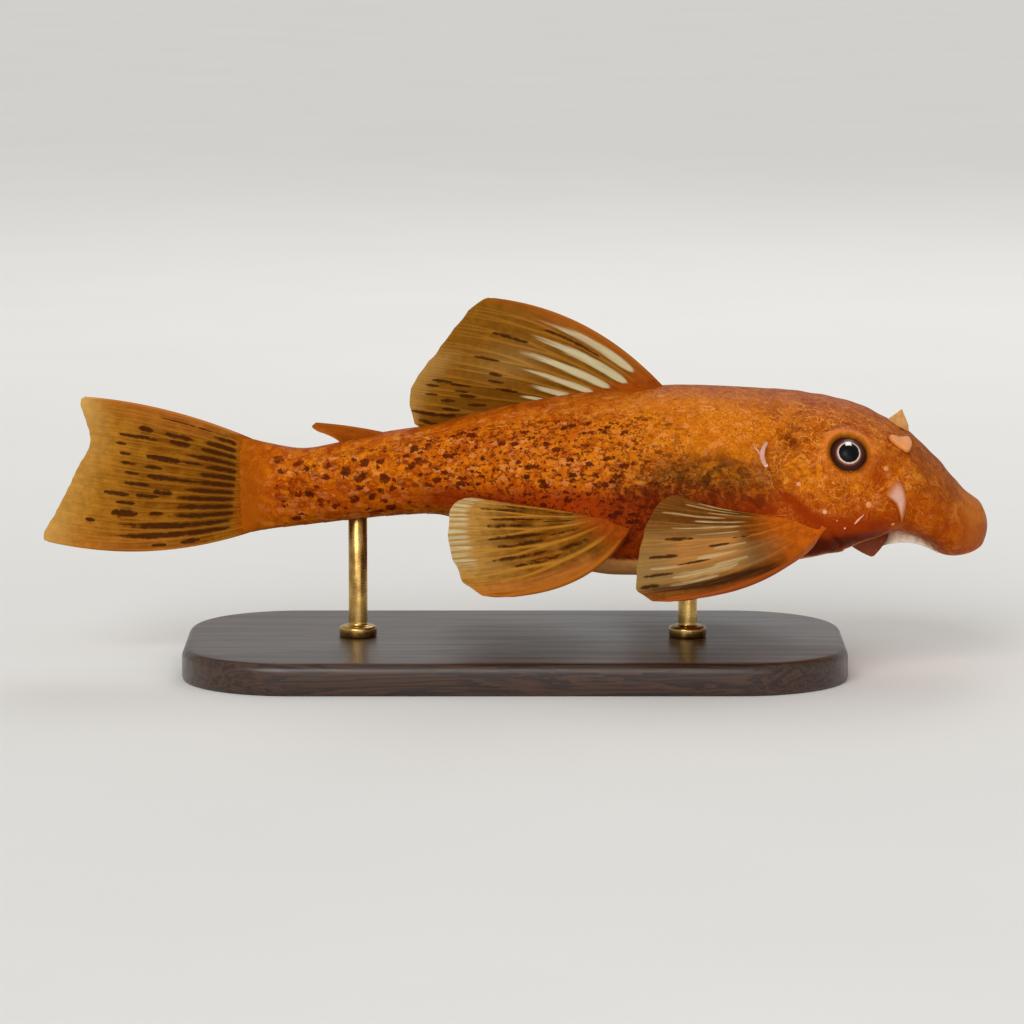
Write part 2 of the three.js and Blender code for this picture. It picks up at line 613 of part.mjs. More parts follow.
function standBase() {
  const { length, width, height, corner, edge } = BASE;
  const [x, y, r] = [length / 2 - edge, width / 2 - edge, corner];
  const shape = new THREE.Shape();
  shape.moveTo(-x + r, -y);
  shape.lineTo(x - r, -y);
  shape.absarc(x - r, -y + r, r, -Math.PI / 2, 0);
  shape.lineTo(x, y - r);
  shape.absarc(x - r, y - r, r, 0, Math.PI / 2);
  shape.lineTo(-x + r, y);
  shape.absarc(-x + r, y - r, r, Math.PI / 2, Math.PI);
  shape.lineTo(-x, -y + r);
  shape.absarc(-x + r, -y + r, r, Math.PI, Math.PI * 1.5);
  const geometry = new THREE.ExtrudeGeometry(shape, {
    depth: height - 2 * edge, bevelThickness: edge, bevelSize: edge, bevelSegments: 1, curveSegments: 8,
  });
  return solidOf(geometry.translate(0, 0, edge));
}

// A rod with a collar at its foot, from the base up to the body.
function standRod(x, bodyClearance) {
  const { radius, collar, collarHeight, collarEdge, sides } = ROD;
  const foot = BASE.height + GAP;
  const top = FISH_Z + levelAt(x);
  const profile = [
    [0, foot], [collar, foot], [collar, foot + collarHeight - collarEdge],
    [collar - collarEdge, foot + collarHeight], [radius, foot + collarHeight], [radius, top], [0, top],
  ].map(([r, z]) => new THREE.Vector2(r, z));
  const geometry = new THREE.LatheGeometry(profile, sides).rotateX(Math.PI / 2);
  return largest(solidOf(geometry.translate(x, sway(x), 0)).subtract(bodyClearance.translate(0, 0, FISH_Z)));
}

// Materials

function finish(color, roughness, metalness = 0) {
  return new THREE.MeshStandardMaterial({ color, roughness, metalness });
}

const SKIN = finish(0xc0600f, 0.5);
const SKIN_TAIL = finish(0xa84f10, 0.5);
const FIN = finish(0xa8762c, 0.55);
const ADIPOSE_SKIN = finish(0xb8601c, 0.5);
const LIP = finish(0xe0c8a8, 0.55);
const EYE_GLOSS = finish(0x0c0808, 0.1);
const WOOD = finish(0x3a2a20, 0.6);
const BRASS = finish(0xb08a4c, 0.3, 1);

// The model

const body = bodySolid();
const clearance = bodySolid(GAP);
const [headCore, trunk, tail] = bodyPieces(body);

const sockets = union([RIGHT, LEFT].map((side) => ball(eyeCentre(side), EYE.radius + GAP)));
const nostrils = union(
  [RIGHT, LEFT].map((side) => ball(skinPoint(NOSTRIL.x, NOSTRIL.z, side), NOSTRIL.radius, 10, 6)),
);
const hollows = union([sockets, nostrils, discSolid(POCKET_PROFILE, GAP)]);
const head = largest(union([headCore, faceDetails(RIGHT), faceDetails(LEFT)]).subtract(hollows));

const rightPectoral = finSolid(PECTORAL);
const rightPelvic = finSolid(PELVIC);

const FISH_NODES = [
  ["head", head, SKIN],
  ["trunk", trunk, SKIN],
  ["tail", tail, SKIN_TAIL],
  ["mouth", mouthSolid(), LIP],
  ["eye_right", ball(eyeCentre(RIGHT), EYE.radius), EYE_GLOSS],
  ["eye_left", ball(eyeCentre(LEFT), EYE.radius), EYE_GLOSS],
  ["dorsal_fin", finSolid(DORSAL), FIN],
  ["adipose_fin", finSolid(ADIPOSE), ADIPOSE_SKIN],
  ["caudal_fin", finSolid(CAUDAL), FIN],
  ["anal_fin", finSolid(ANAL), FIN],
  ["pectoral_fin_right", rightPectoral, FIN],
  ["pectoral_fin_left", mirrored(rightPectoral), FIN],
  ["pelvic_fin_right", rightPelvic, FIN],
  ["pelvic_fin_left", mirrored(rightPelvic), FIN],
];

const STAND_NODES = [
  ["stand_base", standBase(), WOOD],
  ["stand_rod_front", standRod(ROD_FRONT_X, clearance), BRASS],
  ["stand_rod_rear", standRod(ROD_REAR_X, clearance), BRASS],
];

function groupOf(nodes) {
  const group = new THREE.Group();
  for (const [name, solid, material] of nodes) {
    const mesh = new THREE.Mesh(geometryOf(solid), material);
    mesh.name = name;
    group.add(mesh);
  }
  return group;
}

const fish = groupOf(FISH_NODES);
fish.position.z = FISH_Z;
const model = groupOf(STAND_NODES);
model.add(fish);

export default model;
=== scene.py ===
"""The looks of a life-size bristlenose pleco on its display stand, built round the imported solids.

Shapes are worked out in millimetres in the fish's own frame, whose zero level lies FISH_Z above the floor,
and are turned into metres when a mesh is made.
"""
import math

import bpy
import numpy as np
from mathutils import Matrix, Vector


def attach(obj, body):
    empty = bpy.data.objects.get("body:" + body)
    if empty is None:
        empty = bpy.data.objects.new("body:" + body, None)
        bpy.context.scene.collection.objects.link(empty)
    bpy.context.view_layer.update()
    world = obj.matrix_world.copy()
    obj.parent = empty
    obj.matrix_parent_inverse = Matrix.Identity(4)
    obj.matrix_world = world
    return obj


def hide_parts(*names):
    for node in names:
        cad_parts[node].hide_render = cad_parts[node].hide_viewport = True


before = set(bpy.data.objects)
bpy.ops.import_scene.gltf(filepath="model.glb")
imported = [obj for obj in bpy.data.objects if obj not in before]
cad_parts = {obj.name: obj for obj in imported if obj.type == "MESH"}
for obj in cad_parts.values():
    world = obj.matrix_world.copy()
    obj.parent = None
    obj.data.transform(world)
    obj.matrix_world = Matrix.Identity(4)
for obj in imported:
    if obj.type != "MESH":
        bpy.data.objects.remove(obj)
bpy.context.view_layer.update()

# Driving sizes. They are the solids' own, but for the stand's rounded edges and for the tail's end, which
# lies a little further forward here, as its flesh runs on over the tail fin.

MM = 0.001
SNOUT_X = 60.0
TAIL_END_X = -33.2
BASE = {"length": 84.0, "width": 44.0, "height": 4.0, "corner": 14.0, "edge": 1.1}
CLEARANCE = 8.3  # from the top of the base to the lowest point of the belly
BELLY_LOW = 7.7  # from the fish's zero level down to that point
FISH_Z = BASE["height"] + CLEARANCE + BELLY_LOW
ROD = {"radius": 1.2, "collar": 2.4, "collar_height": 1.4, "edge": 0.45, "fillet": 0.3}
ROD_PLACES = {"stand_rod_front": 22.0, "stand_rod_rear": -20.0}
RIGHT = -1  # the sign of y on each side
LEFT = 1

# The body's cross sections: place, top, bottom, half width, height of the widest line as a share of the
# depth, and how square the lower half is
STATIONS = np.array([
    (SNOUT_X, -1.5, -1.5, 0, 0.5, 2.2),
    (59.7, 0.1, -3.0, 3.2, 0.49, 2.2),
    (59.1, 1.3, -4.2, 5.4, 0.48, 2.2),
    (57.8, 2.3, -4.8, 7.6, 0.45, 2.4),
    (55.9, 4.2, -5.2, 9.4, 0.42, 2.6),
    (54.0, 6.5, -4.8, 10.7, 0.4, 2.7),
    (52.1, 8.3, -3.3, 11.6, 0.38, 2.8),
    (50.2, 10.1, -2.3, 12.2, 0.36, 3.0),
    (48.3, 11.3, -1.7, 12.7, 0.35, 3.0),
    (45.1, 13.1, -2.6, 13.4, 0.35, 3.0),
    (40.7, 14.6, -4.2, 14.1, 0.34, 3.0),
    (35.0, 15.5, -5.4, 14.6, 0.35, 3.0),
    (29.0, 15.9, -6.6, 14.5, 0.37, 3.0),
    (21.0, 16.2, -7.6, 13.2, 0.39, 2.9),
    (13.0, 15.7, -7.6, 12.1, 0.43, 2.8),
    (7.6, 15.2, -6.9, 11.1, 0.45, 2.6),
    (1.3, 14.1, -4.3, 9.3, 0.47, 2.45),
    (-5.1, 12.7, -1.5, 7.3, 0.48, 2.35),
    (-10.8, 11.1, -0.1, 6.0, 0.5, 2.3),
    (-16.0, 10.3, -0.4, 5.2, 0.5, 2.3),
    (-22.2, 8.9, -1.1, 4.3, 0.5, 2.25),
    (-27.0, 8.1, -1.7, 3.5, 0.5, 2.2),
    (-31.6, 8.8, -2.3, 2.7, 0.5, 2.2),
    (TAIL_END_X, 9.2, -2.65, 1.9, 0.5, 2.2),
    (-34.7, 9.55, -2.95, 0.72, 0.5, 2.2),
    (-35.5, 9.75, -3.1, 0.12, 0.5, 2.2),
])
UPPER_POWER = 2.1  # how square the upper half is
SWAY_START_X = -5.0  # behind here the tail bends to the left, by SWAY times the square of the distance
SWAY = 0.00132

# Borders between the rows of plates, in degrees from the middle of the back, and the steps of the skin's mesh
# in each row and on the belly
ROW_BORDERS = (0, 28, 58, 90, 115, 140)
ROW_STEPS = (18, 30, 28, 16, 12)
BELLY_STEPS = 14
# Rings of the skin's mesh: on the snout, on the rest of the head (from, to and how many), at the tail's end
SNOUT_RINGS = 70
HEAD_RINGS = ((50, 45.2, 24), (45.2, 38.2, 44), (38.2, 31, 34))
END_RINGS = 14
FIRST_RING = 0.16  # square root of the first ring's distance from the tip of the snout

# Bony plates: how many to a row and where they start, how far their borders bend back over the whole side and
# over each plate, and the heights of their rear edges, keels and seams. Then the mesh's rings on a plate and
# its highest place, as shares of its length from front to rear.
PLATES = {
    "columns": 24, "front": 31.0, "chevron": 0.7, "scallop": 0.4, "lift": 0.05, "keel": 0.05, "seam": 0.03,
}
PLATE_PHASES = (0.0, 0.1, 0.28, 0.46, 0.64, 0.8, 0.9, 0.955, 0.985)
PLATE_REAR = 0.955
BARE_BELLY_FROM_X = -8.0

EYE = {"x": 41.6, "z": 9.0, "radius": 2.6, "bulge": 1.2}
NOSTRIL = (50.1, 9.6)
# The sucker mouth's middle, half its sizes and the heights of its rim
MOUTH = {"x": 49.0, "half": 5.0, "half_width": 7.0, "front": -5.3, "middle": -2.9, "rear": -5.1}
BARBEL = {"root": (44.4, 6.4, -1.9), "tip": (45.0, 7.4, -4.6), "width": 5.4, "thickness": 1.2}
# The edge of the gill cover, as places (x, z)
GILL_LINE = ((29.9, 13.0), (30.5, 11.0), (31.6, 8.0), (33.2, 4.8), (36.2, 1.8), (39.2, -0.5), (40.6, -2.6))

# Curves and small helpers


def smooth(value, low, high):
    """0 below low, 1 above high and a soft step between; low may be the larger."""
    t = np.clip((np.asarray(value, float) - low) / (high - low), 0, 1)
    return t * t * (3 - 2 * t)


def between(value, start, full, last, end):
    """A soft rise from start to full, and a soft fall from last to end."""
    return smooth(value, start, full) * smooth(value, end, last)


def bell(value, centre, width):
    return np.exp(-(((np.asarray(value, float) - centre) / width) ** 2))


def unit(vectors):
    vectors = np.asarray(vectors, float)
    return vectors / np.maximum(np.linalg.norm(vectors, axis=-1, keepdims=True), 1e-12)


def monotone_curve(xs, ys):
    """A smooth curve through given values that never overshoots them."""
    xs, ys = np.array(xs, float), np.array(ys, float)
    slopes = np.diff(ys) / np.diff(xs)
    product = slopes[:-1] * slopes[1:]
    total = np.where(product > 0, slopes[:-1] + slopes[1:], 1)
    inner = np.where(product > 0, 2 * product / total, 0)
    tangents = np.concatenate([slopes[:1], inner, slopes[-1:]])

    def curve(x):
        at = np.clip(x, xs[0], xs[-1])
        i = np.clip(np.searchsorted(xs, at, side="right") - 1, 0, len(xs) - 2)
        width = xs[i + 1] - xs[i]
        t = (at - xs[i]) / width
        start = (1 + 2 * t) * (1 - t) ** 2 * ys[i] + t * (1 - t) ** 2 * width * tangents[i]
        end = t * t * (3 - 2 * t) * ys[i + 1] + t * t * (t - 1) * width * tangents[i + 1]
        return start + end

    return curve


def spaced_curve(points):
    """A centripetal curve through points in space, by a share from 0 to 1 that is even in the points."""
    p = np.array(points, float)
    p = np.vstack([2 * p[0] - p[1], p, 2 * p[-1] - p[-2]])
    spans = len(points) - 1

    def curve(share):
        at = np.clip(np.asarray(share, float), 0, 1) * spans
        i = np.minimum(at.astype(int), spans - 1)
        t = (at - i)[..., None]
        p0, p1, p2, p3 = p[i], p[i + 1], p[i + 2], p[i + 3]
        steps = (p1 - p0, p2 - p1, p3 - p2)
        d0, d1, d2 = (np.linalg.norm(step, axis=-1, keepdims=True) ** 0.5 for step in steps)
        t1 = d1 * ((p1 - p0) / d0 - (p2 - p0) / (d0 + d1) + (p2 - p1) / d1)
        t2 = d1 * ((p2 - p1) / d1 - (p3 - p1) / (d1 + d2) + (p3 - p2) / d2)
        return p1 + t1 * t + (3 * (p2 - p1) - 2 * t1 - t2) * t**2 + (2 * (p1 - p2) + t1 + t2) * t**3

    return curve


# The body's surface


def from_snout(x):
    return np.sqrt(np.maximum(SNOUT_X - np.asarray(x, float), 0))


def station_curve(column):
    curve = monotone_curve(from_snout(STATIONS[:, 0]), STATIONS[:, column])
    return lambda x: curve(from_snout(x))


top_at, bottom_at, half_at, widest_at, square_at = (station_curve(column) for column in range(1, 6))


def level_at(x):
    return bottom_at(x) + widest_at(x) * (top_at(x) - bottom_at(x))


def sway(x):
    return SWAY * np.maximum(SWAY_START_X - np.asarray(x, float), 0) ** 2


def body_points(x, angle):
    """Points of the smooth body at places x and angles in degrees from the middle of the back."""
    turn = np.radians(angle)
    sine, cosine = np.sin(turn), np.cos(turn)
    exponent = 2 / np.where(cosine >= 0, UPPER_POWER, square_at(x))
    level = level_at(x)
    reach = np.where(cosine >= 0, top_at(x) - level, level - bottom_at(x))
    y = sway(x) - np.sign(sine) * np.abs(sine) ** exponent * half_at(x)
    z = level + np.sign(cosine) * np.abs(cosine) ** exponent * reach
    return np.stack([np.broadcast_to(x, y.shape), y, z], -1)


def skin_half(x, z):
    level = level_at(x)
    above = z >= level
    reach = np.where(above, top_at(x) - level, level - bottom_at(x))
    exponent = np.where(above, UPPER_POWER, square_at(x))
    share = np.clip(np.abs(z - level) / reach, 0, 1)
    return half_at(x) * (1 - share**exponent) ** (1 / exponent)


def skin_normal(x, z, side):
    d = 0.05
    along_x = (skin_half(x + d, z) - skin_half(x - d, z)) / (2 * d)
    along_z = (skin_half(x, z + d) - skin_half(x, z - d)) / (2 * d)
    return unit(np.array([-along_x, side, -along_z]))


def skin_point(x, z, side, proud=0.0):
    on_skin = np.array([x, sway(x) + side * skin_half(x, z), z])
    return on_skin + proud * skin_normal(x, z, side)


# Meshes

UP = (0, 0, 1)


def grid_faces(rows, columns, closed=False):
    """Quads of a grid of points, row after row; closed joins the last column to the first."""
    r, c = np.meshgrid(np.arange(rows - 1), np.arange(columns if closed else columns - 1), indexing="ij")
    here, after = r * columns + c, r * columns + (c + 1) % columns
    return np.stack([here, after, after + columns, here + columns], -1).reshape(-1, 4)


def turn_outward(mesh):
    """Turns a closed mesh's faces over if its volume comes out below zero."""
    mesh.calc_loop_triangles()
    corners = np.zeros(len(mesh.loop_triangles) * 3, np.int32)
    mesh.loop_triangles.foreach_get("vertices", corners)
    points = np.zeros(len(mesh.vertices) * 3)
    mesh.vertices.foreach_get("co", points)
    points = points.reshape(-1, 3)
    points = points - points.mean(0)
    a, b, c = (points[corners.reshape(-1, 3)[:, k]] for k in range(3))
    if np.einsum("ij,ij->", a, np.cross(b, c)) < 0:
        mesh.flip_normals()


def add_piece(name, shape, material, replaces=(), attributes=None):
    """A smooth piece made of points in millimetres in the fish's frame and faces; the one body carries it."""
    points, faces = shape
    world = (np.asarray(points, float) + (0, 0, FISH_Z)) * MM
    mesh = bpy.data.meshes.new(name)
    mesh.from_pydata(world.tolist(), [], [list(map(int, face)) for face in faces])
    mesh.validate()
    for key, values in (attributes or {}).items():
        attribute = mesh.attributes.new(key, "FLOAT", "POINT")
        attribute.data.foreach_set("value", np.asarray(values, np.float32).ravel())
    mesh.polygons.foreach_set("use_smooth", [True] * len(mesh.polygons))
    turn_outward(mesh)
    mesh.materials.append(material)
    piece = bpy.data.objects.new(name, mesh)
    bpy.context.scene.collection.objects.link(piece)
    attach(piece, "root")
    if replaces:
        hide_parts(*replaces)


def closed_loft(rings):
    """Points and faces of rings joined in turn, closed at both ends by a fan round the ring's middle."""
    rings = np.asarray(rings, float)
    rows, columns = rings.shape[:2]
    points = np.vstack([rings.reshape(-1, 3), rings[0].mean(0), rings[-1].mean(0)])
    faces = grid_faces(rows, columns, closed=True).tolist()
    start, end = len(points) - 2, len(points) - 1
    last = (rows - 1) * columns
    for i in range(columns):
        after = (i + 1) % columns
        faces.append([start, after, i])
        faces.append([end, last + i, last + after])
    return points, faces


def joined(parts):
    """Several (points, faces) as one."""
    points, faces, shift = [], [], 0
    for some_points, some_faces in parts:
        points.append(some_points)
        faces += [[i + shift for i in face] for face in some_faces]
        shift += len(some_points)
    return np.vstack(points), faces


def across(direction, prefer):
    """Two unit vectors across a direction, the first as near to a preferred one as can be."""
    direction = unit(direction)
    first = unit(np.asarray(prefer, float) - np.dot(prefer, direction) * direction)
    return np.stack([first, np.cross(direction, first)])


def round_turn(count):
    """Angles spread evenly over a full turn."""
    return np.linspace(0, 2 * math.pi, count, endpoint=False)


def ellipse(count, first, second):
    """A ring of points round zero with these two half axes."""
    turn = round_turn(count)[:, None]
    return np.cos(turn) * first + np.sin(turn) * second


def tube(line, radii, sides=12):
    """A tapering tube along points."""
    ways = unit(np.gradient(line, axis=0))
    return closed_loft([
        spot + ellipse(sides, *(radius * across(way, UP))) for spot, way, radius in zip(line, ways, radii)
    ])


def dome(centre, out, radius, rise=0.5, around=14, rings=7):
    """A small low wart standing on the skin, with its foot sunk in."""
    rows = []
    for lift in np.linspace(-0.6, 0.98, rings):
        width = radius * math.sqrt(1 - max(lift, 0) ** 2)
        rows.append(centre + ellipse(around, *(width * across(out, UP))) + out * lift * radius * rise)
    return closed_loft(rows)


# Materials


def colour(values, shade=1.0):
    """A screen's colour of 0 to 255 each, darkened to a share, as the linear one that shaders use."""
    share = np.array(values) / 255
    linear = shade * np.where(share <= 0.04045, share / 12.92, ((share + 0.055) / 1.055) ** 2.4)
    return (*linear.tolist(), 1.0)


class Paint:
    """One node material in the making. It is fed numbers, the sockets of its nodes, the mesh's attributes by
    name, and a screen's colours as three numbers."""

    def __init__(self, name, **constants):
        self.material = bpy.data.materials.new(name)
        self.material.use_nodes = True
        self.tree = self.material.node_tree
        self.surface = next(node for node in self.tree.nodes if node.type == "BSDF_PRINCIPLED")
        self.set(**constants)

    def set(self, **inputs):
        for key, value in inputs.items():
            self.feed(self.surface.inputs[key.replace("_", " ")], value)

    def finished(self, **inputs):
        self.set(**inputs)
        return self.material

    def feed(self, socket, value):
        if isinstance(value, str):
            value = self.node("Attribute", "Fac", {}, attribute_name=value)
        if isinstance(value, bpy.types.NodeSocket):
            self.tree.links.new(value, socket)
        elif socket.type == "RGBA" and len(value) == 3:
            socket.default_value = colour(value)
        else:
            socket.default_value = value

    def node(self, kind, output, inputs, **settings):
        made = self.tree.nodes.new("ShaderNode" + kind)
        for key, value in settings.items():
            setattr(made, key, value)
        for key, value in inputs.items():
            self.feed(made.inputs[key], value)
        return made.outputs[output]

    def place(self, *stretch):
        """Position on the piece in millimetres, stretched."""
        spot = self.node("TexCoord", "Object", {})
        scale = tuple(s / MM for s in stretch or (1, 1, 1))
        return self.node("VectorMath", "Vector", {0: spot, 1: scale}, operation="MULTIPLY")

    def shifted(self, spot, by, amount):
        """A position moved about by a colour's three channels, a way of bending a pattern."""
        centred = self.node("VectorMath", "Vector", {0: by, 1: (0.5, 0.5, 0.5)}, operation="SUBTRACT")
        inputs = {0: centred, 1: (amount, amount, amount), 2: spot}
        return self.node("VectorMath", "Vector", inputs, operation="MULTIPLY_ADD")

    def noise(self, at, scale, detail=3.0, roughness=0.5, distortion=0.0, output="Fac"):
        inputs = {"Vector": at, "Scale": scale, "Detail": detail, "Roughness": roughness}
        return self.node("TexNoise", output, inputs | {"Distortion": distortion})

    def cells(self, at, scale, feature="F1"):
        return self.node("TexVoronoi", "Distance", {"Vector": at, "Scale": scale}, feature=feature)

    def cell_share(self, at, scale, channel):
        """A number of its own for each cell, from a channel of the cell's colour."""
        drawn = self.node("TexVoronoi", "Color", {"Vector": at, "Scale": scale})
        return self.node("SeparateColor", channel, {"Color": drawn})

    def step(self, value, low, high, to=(0.0, 1.0)):
        inputs = {"Value": value, "From Min": low, "From Max": high, "To Min": to[0], "To Max": to[1]}
        return self.node("MapRange", "Result", inputs, interpolation_type="SMOOTHSTEP")

    def maths(self, operation, a, b=0.0, c=0.0):
        return self.node("Math", "Value", {0: a, 1: b, 2: c}, operation=operation)

    def centred(self, noise, width):
        """A noise moved to lie round zero, as wide as this in all."""
        return self.maths("MULTIPLY_ADD", noise, width, -width / 2)

    def times(self, product, *factors):
        for factor in factors:
            product = self.maths("MULTIPLY", product, factor)
        return product

    def mix(self, share, a, b):
        return self.node("Mix", 2, {0: share, 6: a, 7: b}, data_type="RGBA")

    def layers(self, base, *coats):
        """A colour with coats laid over it in turn, each given by the factors of its share and its colour."""
        for *factors, coat in coats:
            base = self.mix(self.times(*factors), base, coat)
        return base

    def bump(self, height, distance, strength=1.0, normal=None):
        inputs = {"Height": height, "Distance": distance * MM, "Strength": strength}
        if normal is not None:
            inputs["Normal"] = normal
        return self.node("Bump", "Normal", inputs)

    def lines(self, at, scale, width, distortion, detail):
        """Thin winding lines, where a noise passes its middle value."""
        off = self.maths("SUBTRACT", self.noise(at, scale, detail, 0.5, distortion), 0.5)
        return self.step(self.maths("ABSOLUTE", off), width, width * 0.3)


ORANGE = (188, 87, 5)
DEEP_ORANGE = (156, 60, 3)
BRIGHT_ORANGE = (216, 120, 12)
PEACH = (228, 146, 78)
MAROON = (84, 16, 3)
TAIL_BROWN = (158, 78, 4)
FIN_FLESH = (164, 70, 8)


def skin_paint():
    paint = Paint("skin", Subsurface_Weight=0.06, Subsurface_Radius=(1.0, 0.35, 0.12), Subsurface_Scale=0.001,
                  Specular_IOR_Level=0.1, Specular_Tint=(1.0, 0.62, 0.3, 1.0), IOR=1.36)
    spot = paint.place()
    fine_bend = paint.noise(spot, 1.5, 2.0, output="Color")
    rough_bend = paint.noise(spot, 3.4, 3.0, 0.6, output="Color")
    bent = paint.shifted(spot, paint.noise(spot, 0.4, 2.0, output="Color"), 2.4)
    curly = paint.shifted(bent, fine_bend, 0.8)

    def lying(stretch, fine, rough):
        """A place drawn out along the body, and moved about finely and roughly."""
        return paint.shifted(paint.shifted(paint.place(*stretch), fine_bend, fine), rough_bend, rough)

    broad = paint.noise(bent, 0.2, 2.0)
    patches = paint.noise(curly, 0.75, 5.0, 0.62, 0.6)
    base = paint.mix(paint.step(patches, 0.34, 0.66), DEEP_ORANGE, BRIGHT_ORANGE)
    base = paint.mix(paint.step(broad, 0.38, 0.7, (0.0, 0.6)), base, ORANGE)

    # Flecks: each cell of a net has a tint of its own, and darker skin shows along the cells' borders
    net = lying((0.6, 1, 1), 0.6, 0.7)
    border = paint.cells(net, 1.25, "DISTANCE_TO_EDGE")
    tint = paint.step(paint.cell_share(net, 1.25, "Red"), 0.45, 0.95)
    fleck = paint.times(paint.step(border, 0.0, 0.26), tint)
    seam = paint.times(paint.step(border, 0.16, 0.0), paint.step(paint.noise(spot, 0.9, 3.0), 0.42, 0.62))

    swirls = paint.lines(bent, 0.5, 0.026, 2.0, 1.6)
    fine_swirls = paint.lines(curly, 0.85, 0.03, 1.6, 2.0)
    dark_swirls = paint.lines(paint.shifted(spot, fine_bend, 1.6), 0.6, 0.024, 1.8, 2.0)
    swirl_share = paint.times("swirls", paint.step(broad, 0.3, 0.6, (0.45, 1.0)))

    ragged = paint.centred(paint.noise(spot, 4.5, 2.0), 0.36)

    def specks(at, scale, growth, least, soft):
        """Ragged specks of many sizes, one to each cell of a net."""
        size = paint.maths("MULTIPLY_ADD", paint.cell_share(at, scale, "Green"), growth, least)
        off = paint.maths("SUBTRACT", paint.cells(at, scale), size)
        return paint.step(paint.maths("ADD", off, ragged), soft, -0.06)

    darts = lying((0.5, 1.05, 1.05), 0.6, 0.45)
    fine_dart = paint.times(specks(darts, 2.3, 0.6, -0.12, 0.06), 0.8)
    dart = paint.maths("MAXIMUM", specks(darts, 1.25, 0.46, 0.05, 0.04), fine_dart)
    broken = paint.times(paint.step(border, 0.13, 0.04), paint.step(paint.noise(spot, 1.4, 2.0), 0.48, 0.56))
    dash = paint.maths("MAXIMUM", dart, paint.times(broken, 0.75))
    dash = paint.times(dash, "dashes", paint.step(paint.noise(spot, 0.35, 2.0), 0.2, 0.36))
    blot = specks(lying((0.8, 1, 1), 0.9, 0.35), 0.78, 0.3, 0.22, 0.03)
    blot = paint.times(blot, "blotches", paint.step(paint.noise(spot, 0.3, 2.0), 0.3, 0.42))
    dark_red = paint.mix(paint.step(paint.noise(spot, 0.8, 2.0), 0.35, 0.7), MAROON, (50, 12, 4))
    belly = paint.step(paint.maths("ADD", "belly", paint.centred(patches, 0.7)), 0.25, 0.75)

    shade = paint.layers(
        base,
        # painted light on the upper flank, and a lighter spot on the cheek
        ("bright", BRIGHT_ORANGE),
        (fleck, 0.5, PEACH),
        (seam, 0.4, (132, 46, 4)),
        ("clouds", paint.step(paint.noise(bent, 0.34, 4.0, 0.6), 0.56, 0.4), (150, 60, 3)),
        (swirls, swirl_share, 0.7, (238, 156, 62)),
        (fine_swirls, swirl_share, 0.45, (232, 146, 44)),
        (dark_swirls, swirl_share, 0.65, (116, 42, 5)),
        ("back", 0.65, paint.step(patches, 0.3, 0.6, (1.0, 0.6)), (148, 62, 3)),
        # painted highlight: a pinkish sheen along the top of the head
        ("painted_sheen", 0.35, (184, 100, 60)),
        ("tan", 0.7, (190, 108, 34)),
        ("brown", paint.step(patches, 0.3, 0.62, (0.95, 0.5)), (132, 62, 4)),
        # darker red on the gill fold, and painted shade on the lower flank and under the jaw
        ("red", 0.9, (142, 42, 3)),
        ("olive", paint.step(patches, 0.36, 0.66, (1.0, 0.5)), (86, 46, 6)),
        # dark patches, and painted shadow behind the pectoral fin
        ("dark", paint.step(patches, 0.4, 0.62, (1.0, 0.25)), (96, 30, 4)),
        # painted shade under the head
        ("under", 0.95, (84, 23, 2)),
        (belly, paint.step(patches, 0.3, 0.64, (0.94, 0.72)), (246, 172, 100)),
        (dash, 0.92, dark_red),
        (blot, 0.88, dark_red),
        ("rim", 0.9, (224, 124, 50)),
        ("gold", (152, 84, 12)),
        ("socket", (44, 12, 6)),
        # painted shade in the nostril dots
        ("pit", (52, 16, 4)),
        ("tail_end", TAIL_BROWN),
    )
    normal = paint.bump(paint.noise(spot, 1.3, 4.0, 0.6), 0.12, 0.5)
    normal = paint.bump(paint.cells(paint.place(0.7, 1, 1), 4.2), 0.05, 0.5, normal)
    rough = paint.step(paint.noise(spot, 1.8, 3.0), 0.3, 0.7, (0.42, 0.66))
    return paint.finished(Base_Color=shade, Roughness=rough, Normal=normal)


